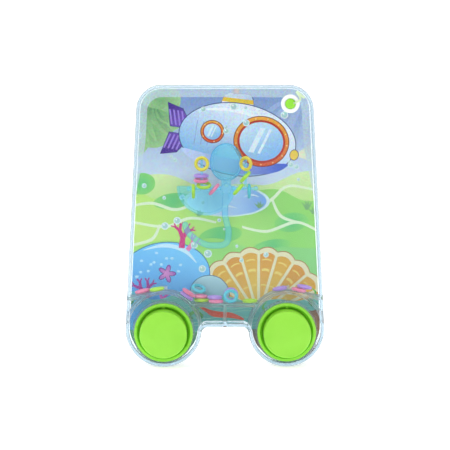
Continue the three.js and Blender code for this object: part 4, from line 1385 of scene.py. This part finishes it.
# %% Join, remesh and smooth the figure
VOXEL = 0.2 * MM
SMOOTH_ROUNDS, SMOOTH_FACTOR = 6, 0.5


def cast_together(name, parts, voxel, rounds):
    """Joins overlapping solids into one skin with small fillets."""
    bm = bmesh.new()
    for part in parts:
        bm.from_mesh(part.data)
        bpy.data.objects.remove(part)
    mesh = bpy.data.meshes.new(name)
    bm.to_mesh(mesh)
    bm.free()
    thing = new_object(name, mesh)
    remesh = thing.modifiers.new("remesh", "REMESH")
    remesh.mode = "VOXEL"
    remesh.voxel_size = voxel
    remesh.use_smooth_shade = True
    smooth = thing.modifiers.new("smooth", "SMOOTH")
    smooth.iterations = rounds
    smooth.factor = SMOOTH_FACTOR
    result = baked(thing)
    thing.modifiers.clear()
    thing.data = result
    for face in result.polygons:
        face.use_smooth = True
    return thing


figure_parts = bowl_parts() + dome_part() + hook_part() + arm_parts()
figure = cast_together("peg_tree", figure_parts, VOXEL, SMOOTH_ROUNDS)
dress(figure, figure_tint, "case", "tinted_plastic", "peg_figure")

# %% [markdown]
# ## Rings
#
# Twenty-five rings of the same size lie and hang in the tank. They are what Geometry Nodes are for: one
# tree sweeps a round section about a circle, raises the faint parting line that the mould leaves, and
# turns the ring into place. Each ring moves on its own body, so the tree is run once for each, with that
# ring's place and turn as inputs. Place and turn are measured from the CAD ring: its middle is the middle
# of its points, and its axis is the direction in which they spread least.

# %% Ring tree
PARTING_REACH = 0.05 * MM
RING_STEPS, SECTION_STEPS = 56, 20


def ring_tree():
    """Sweeps a section with a parting line about a circle, then turns and moves the ring into place."""
    tree, inside, outside = open_group(
        "moulded_ring", "GeometryNodeTree",
        [("Geometry", "Geometry"), ("Centre Radius", "Float", 2.7 * MM),
         ("Section Radius", "Float", 0.77 * MM), ("Parting Line", "Float", 0.03 * MM),
         ("Place", "Vector"), ("Turn", "Rotation"), ("Plastic", "Material")],
        [("Geometry", "Geometry")])
    circle = "GeometryNodeCurvePrimitiveCircle"
    path = add_node(tree, circle, Resolution=RING_STEPS, Radius=inside["Centre Radius"])
    section = add_node(tree, circle, Resolution=SECTION_STEPS, Radius=inside["Section Radius"])
    place = add_node(tree, "GeometryNodeInputPosition")
    level = maths(tree, "ABSOLUTE", add_node(tree, "ShaderNodeSeparateXYZ", place).outputs["Y"])
    ridge = maths(tree, "MULTIPLY", maths(tree, "LESS_THAN", level, PARTING_REACH), inside["Parting Line"])
    lift = vectors(tree, "SCALE", vectors(tree, "NORMALIZE", place), Scale=ridge)
    shift = add_node(tree, "GeometryNodeSetPosition", Geometry=section, Offset=lift)
    ring = add_node(tree, "GeometryNodeCurveToMesh", Curve=path, Profile_Curve=shift)
    ring = add_node(tree, "GeometryNodeSetShadeSmooth", Geometry=ring)
    ring = add_node(tree, "GeometryNodeTransform", Geometry=ring, Translation=inside["Place"],
                    Rotation=inside["Turn"])
    ring = add_node(tree, "GeometryNodeRealizeInstances", Geometry=ring)
    ring = add_node(tree, "GeometryNodeSetMaterial", Geometry=ring, Material=inside["Plastic"])
    fill(outside, Geometry=ring)
    return tree


moulded_ring = ring_tree()
ring_inputs = {s.name: s.identifier for s in moulded_ring.interface.items_tree if s.in_out == "INPUT"}
print("ring inputs:", list(ring_inputs))


# %% Make every ring
def ring_pose(node):
    """Middle and axis of a CAD ring."""
    points = np.array([v.co for v in node.data.vertices], float)
    middle = points.mean(0)
    spread, ways = np.linalg.eigh(np.cov((points - middle).T))
    return Vector(middle), Vector(ways[:, int(np.argmin(spread))])


def make_ring(number, body, colour):
    """Runs the ring tree at the place of one CAD ring."""
    node = frame["nodes"][f"ring_{number:02d}"]
    middle, way = ring_pose(node)
    holder = new_object(f"toss_ring_{number:02d}", bpy.data.meshes.new(f"toss_ring_{number:02d}"))
    modifier = holder.modifiers.new("ring", "NODES")
    modifier.node_group = moulded_ring
    modifier[ring_inputs["Place"]] = middle
    modifier[ring_inputs["Turn"]] = way.to_track_quat("Z", "Y").to_euler()
    modifier[ring_inputs["Plastic"]] = ring_plastics[colour]
    mesh = baked(holder)
    holder.modifiers.remove(modifier)
    holder.data = mesh
    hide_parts(node.name)
    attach(holder, body)
    return holder


ring_bodies = sorted(name for name in frame["bodies"] if name.startswith("ring_"))
rings = [make_ring(int(name.split("_")[1]), name, name.split("_")[2]) for name in ring_bodies]
print(f"{len(rings)} rings of {len(rings[0].data.polygons)} faces")
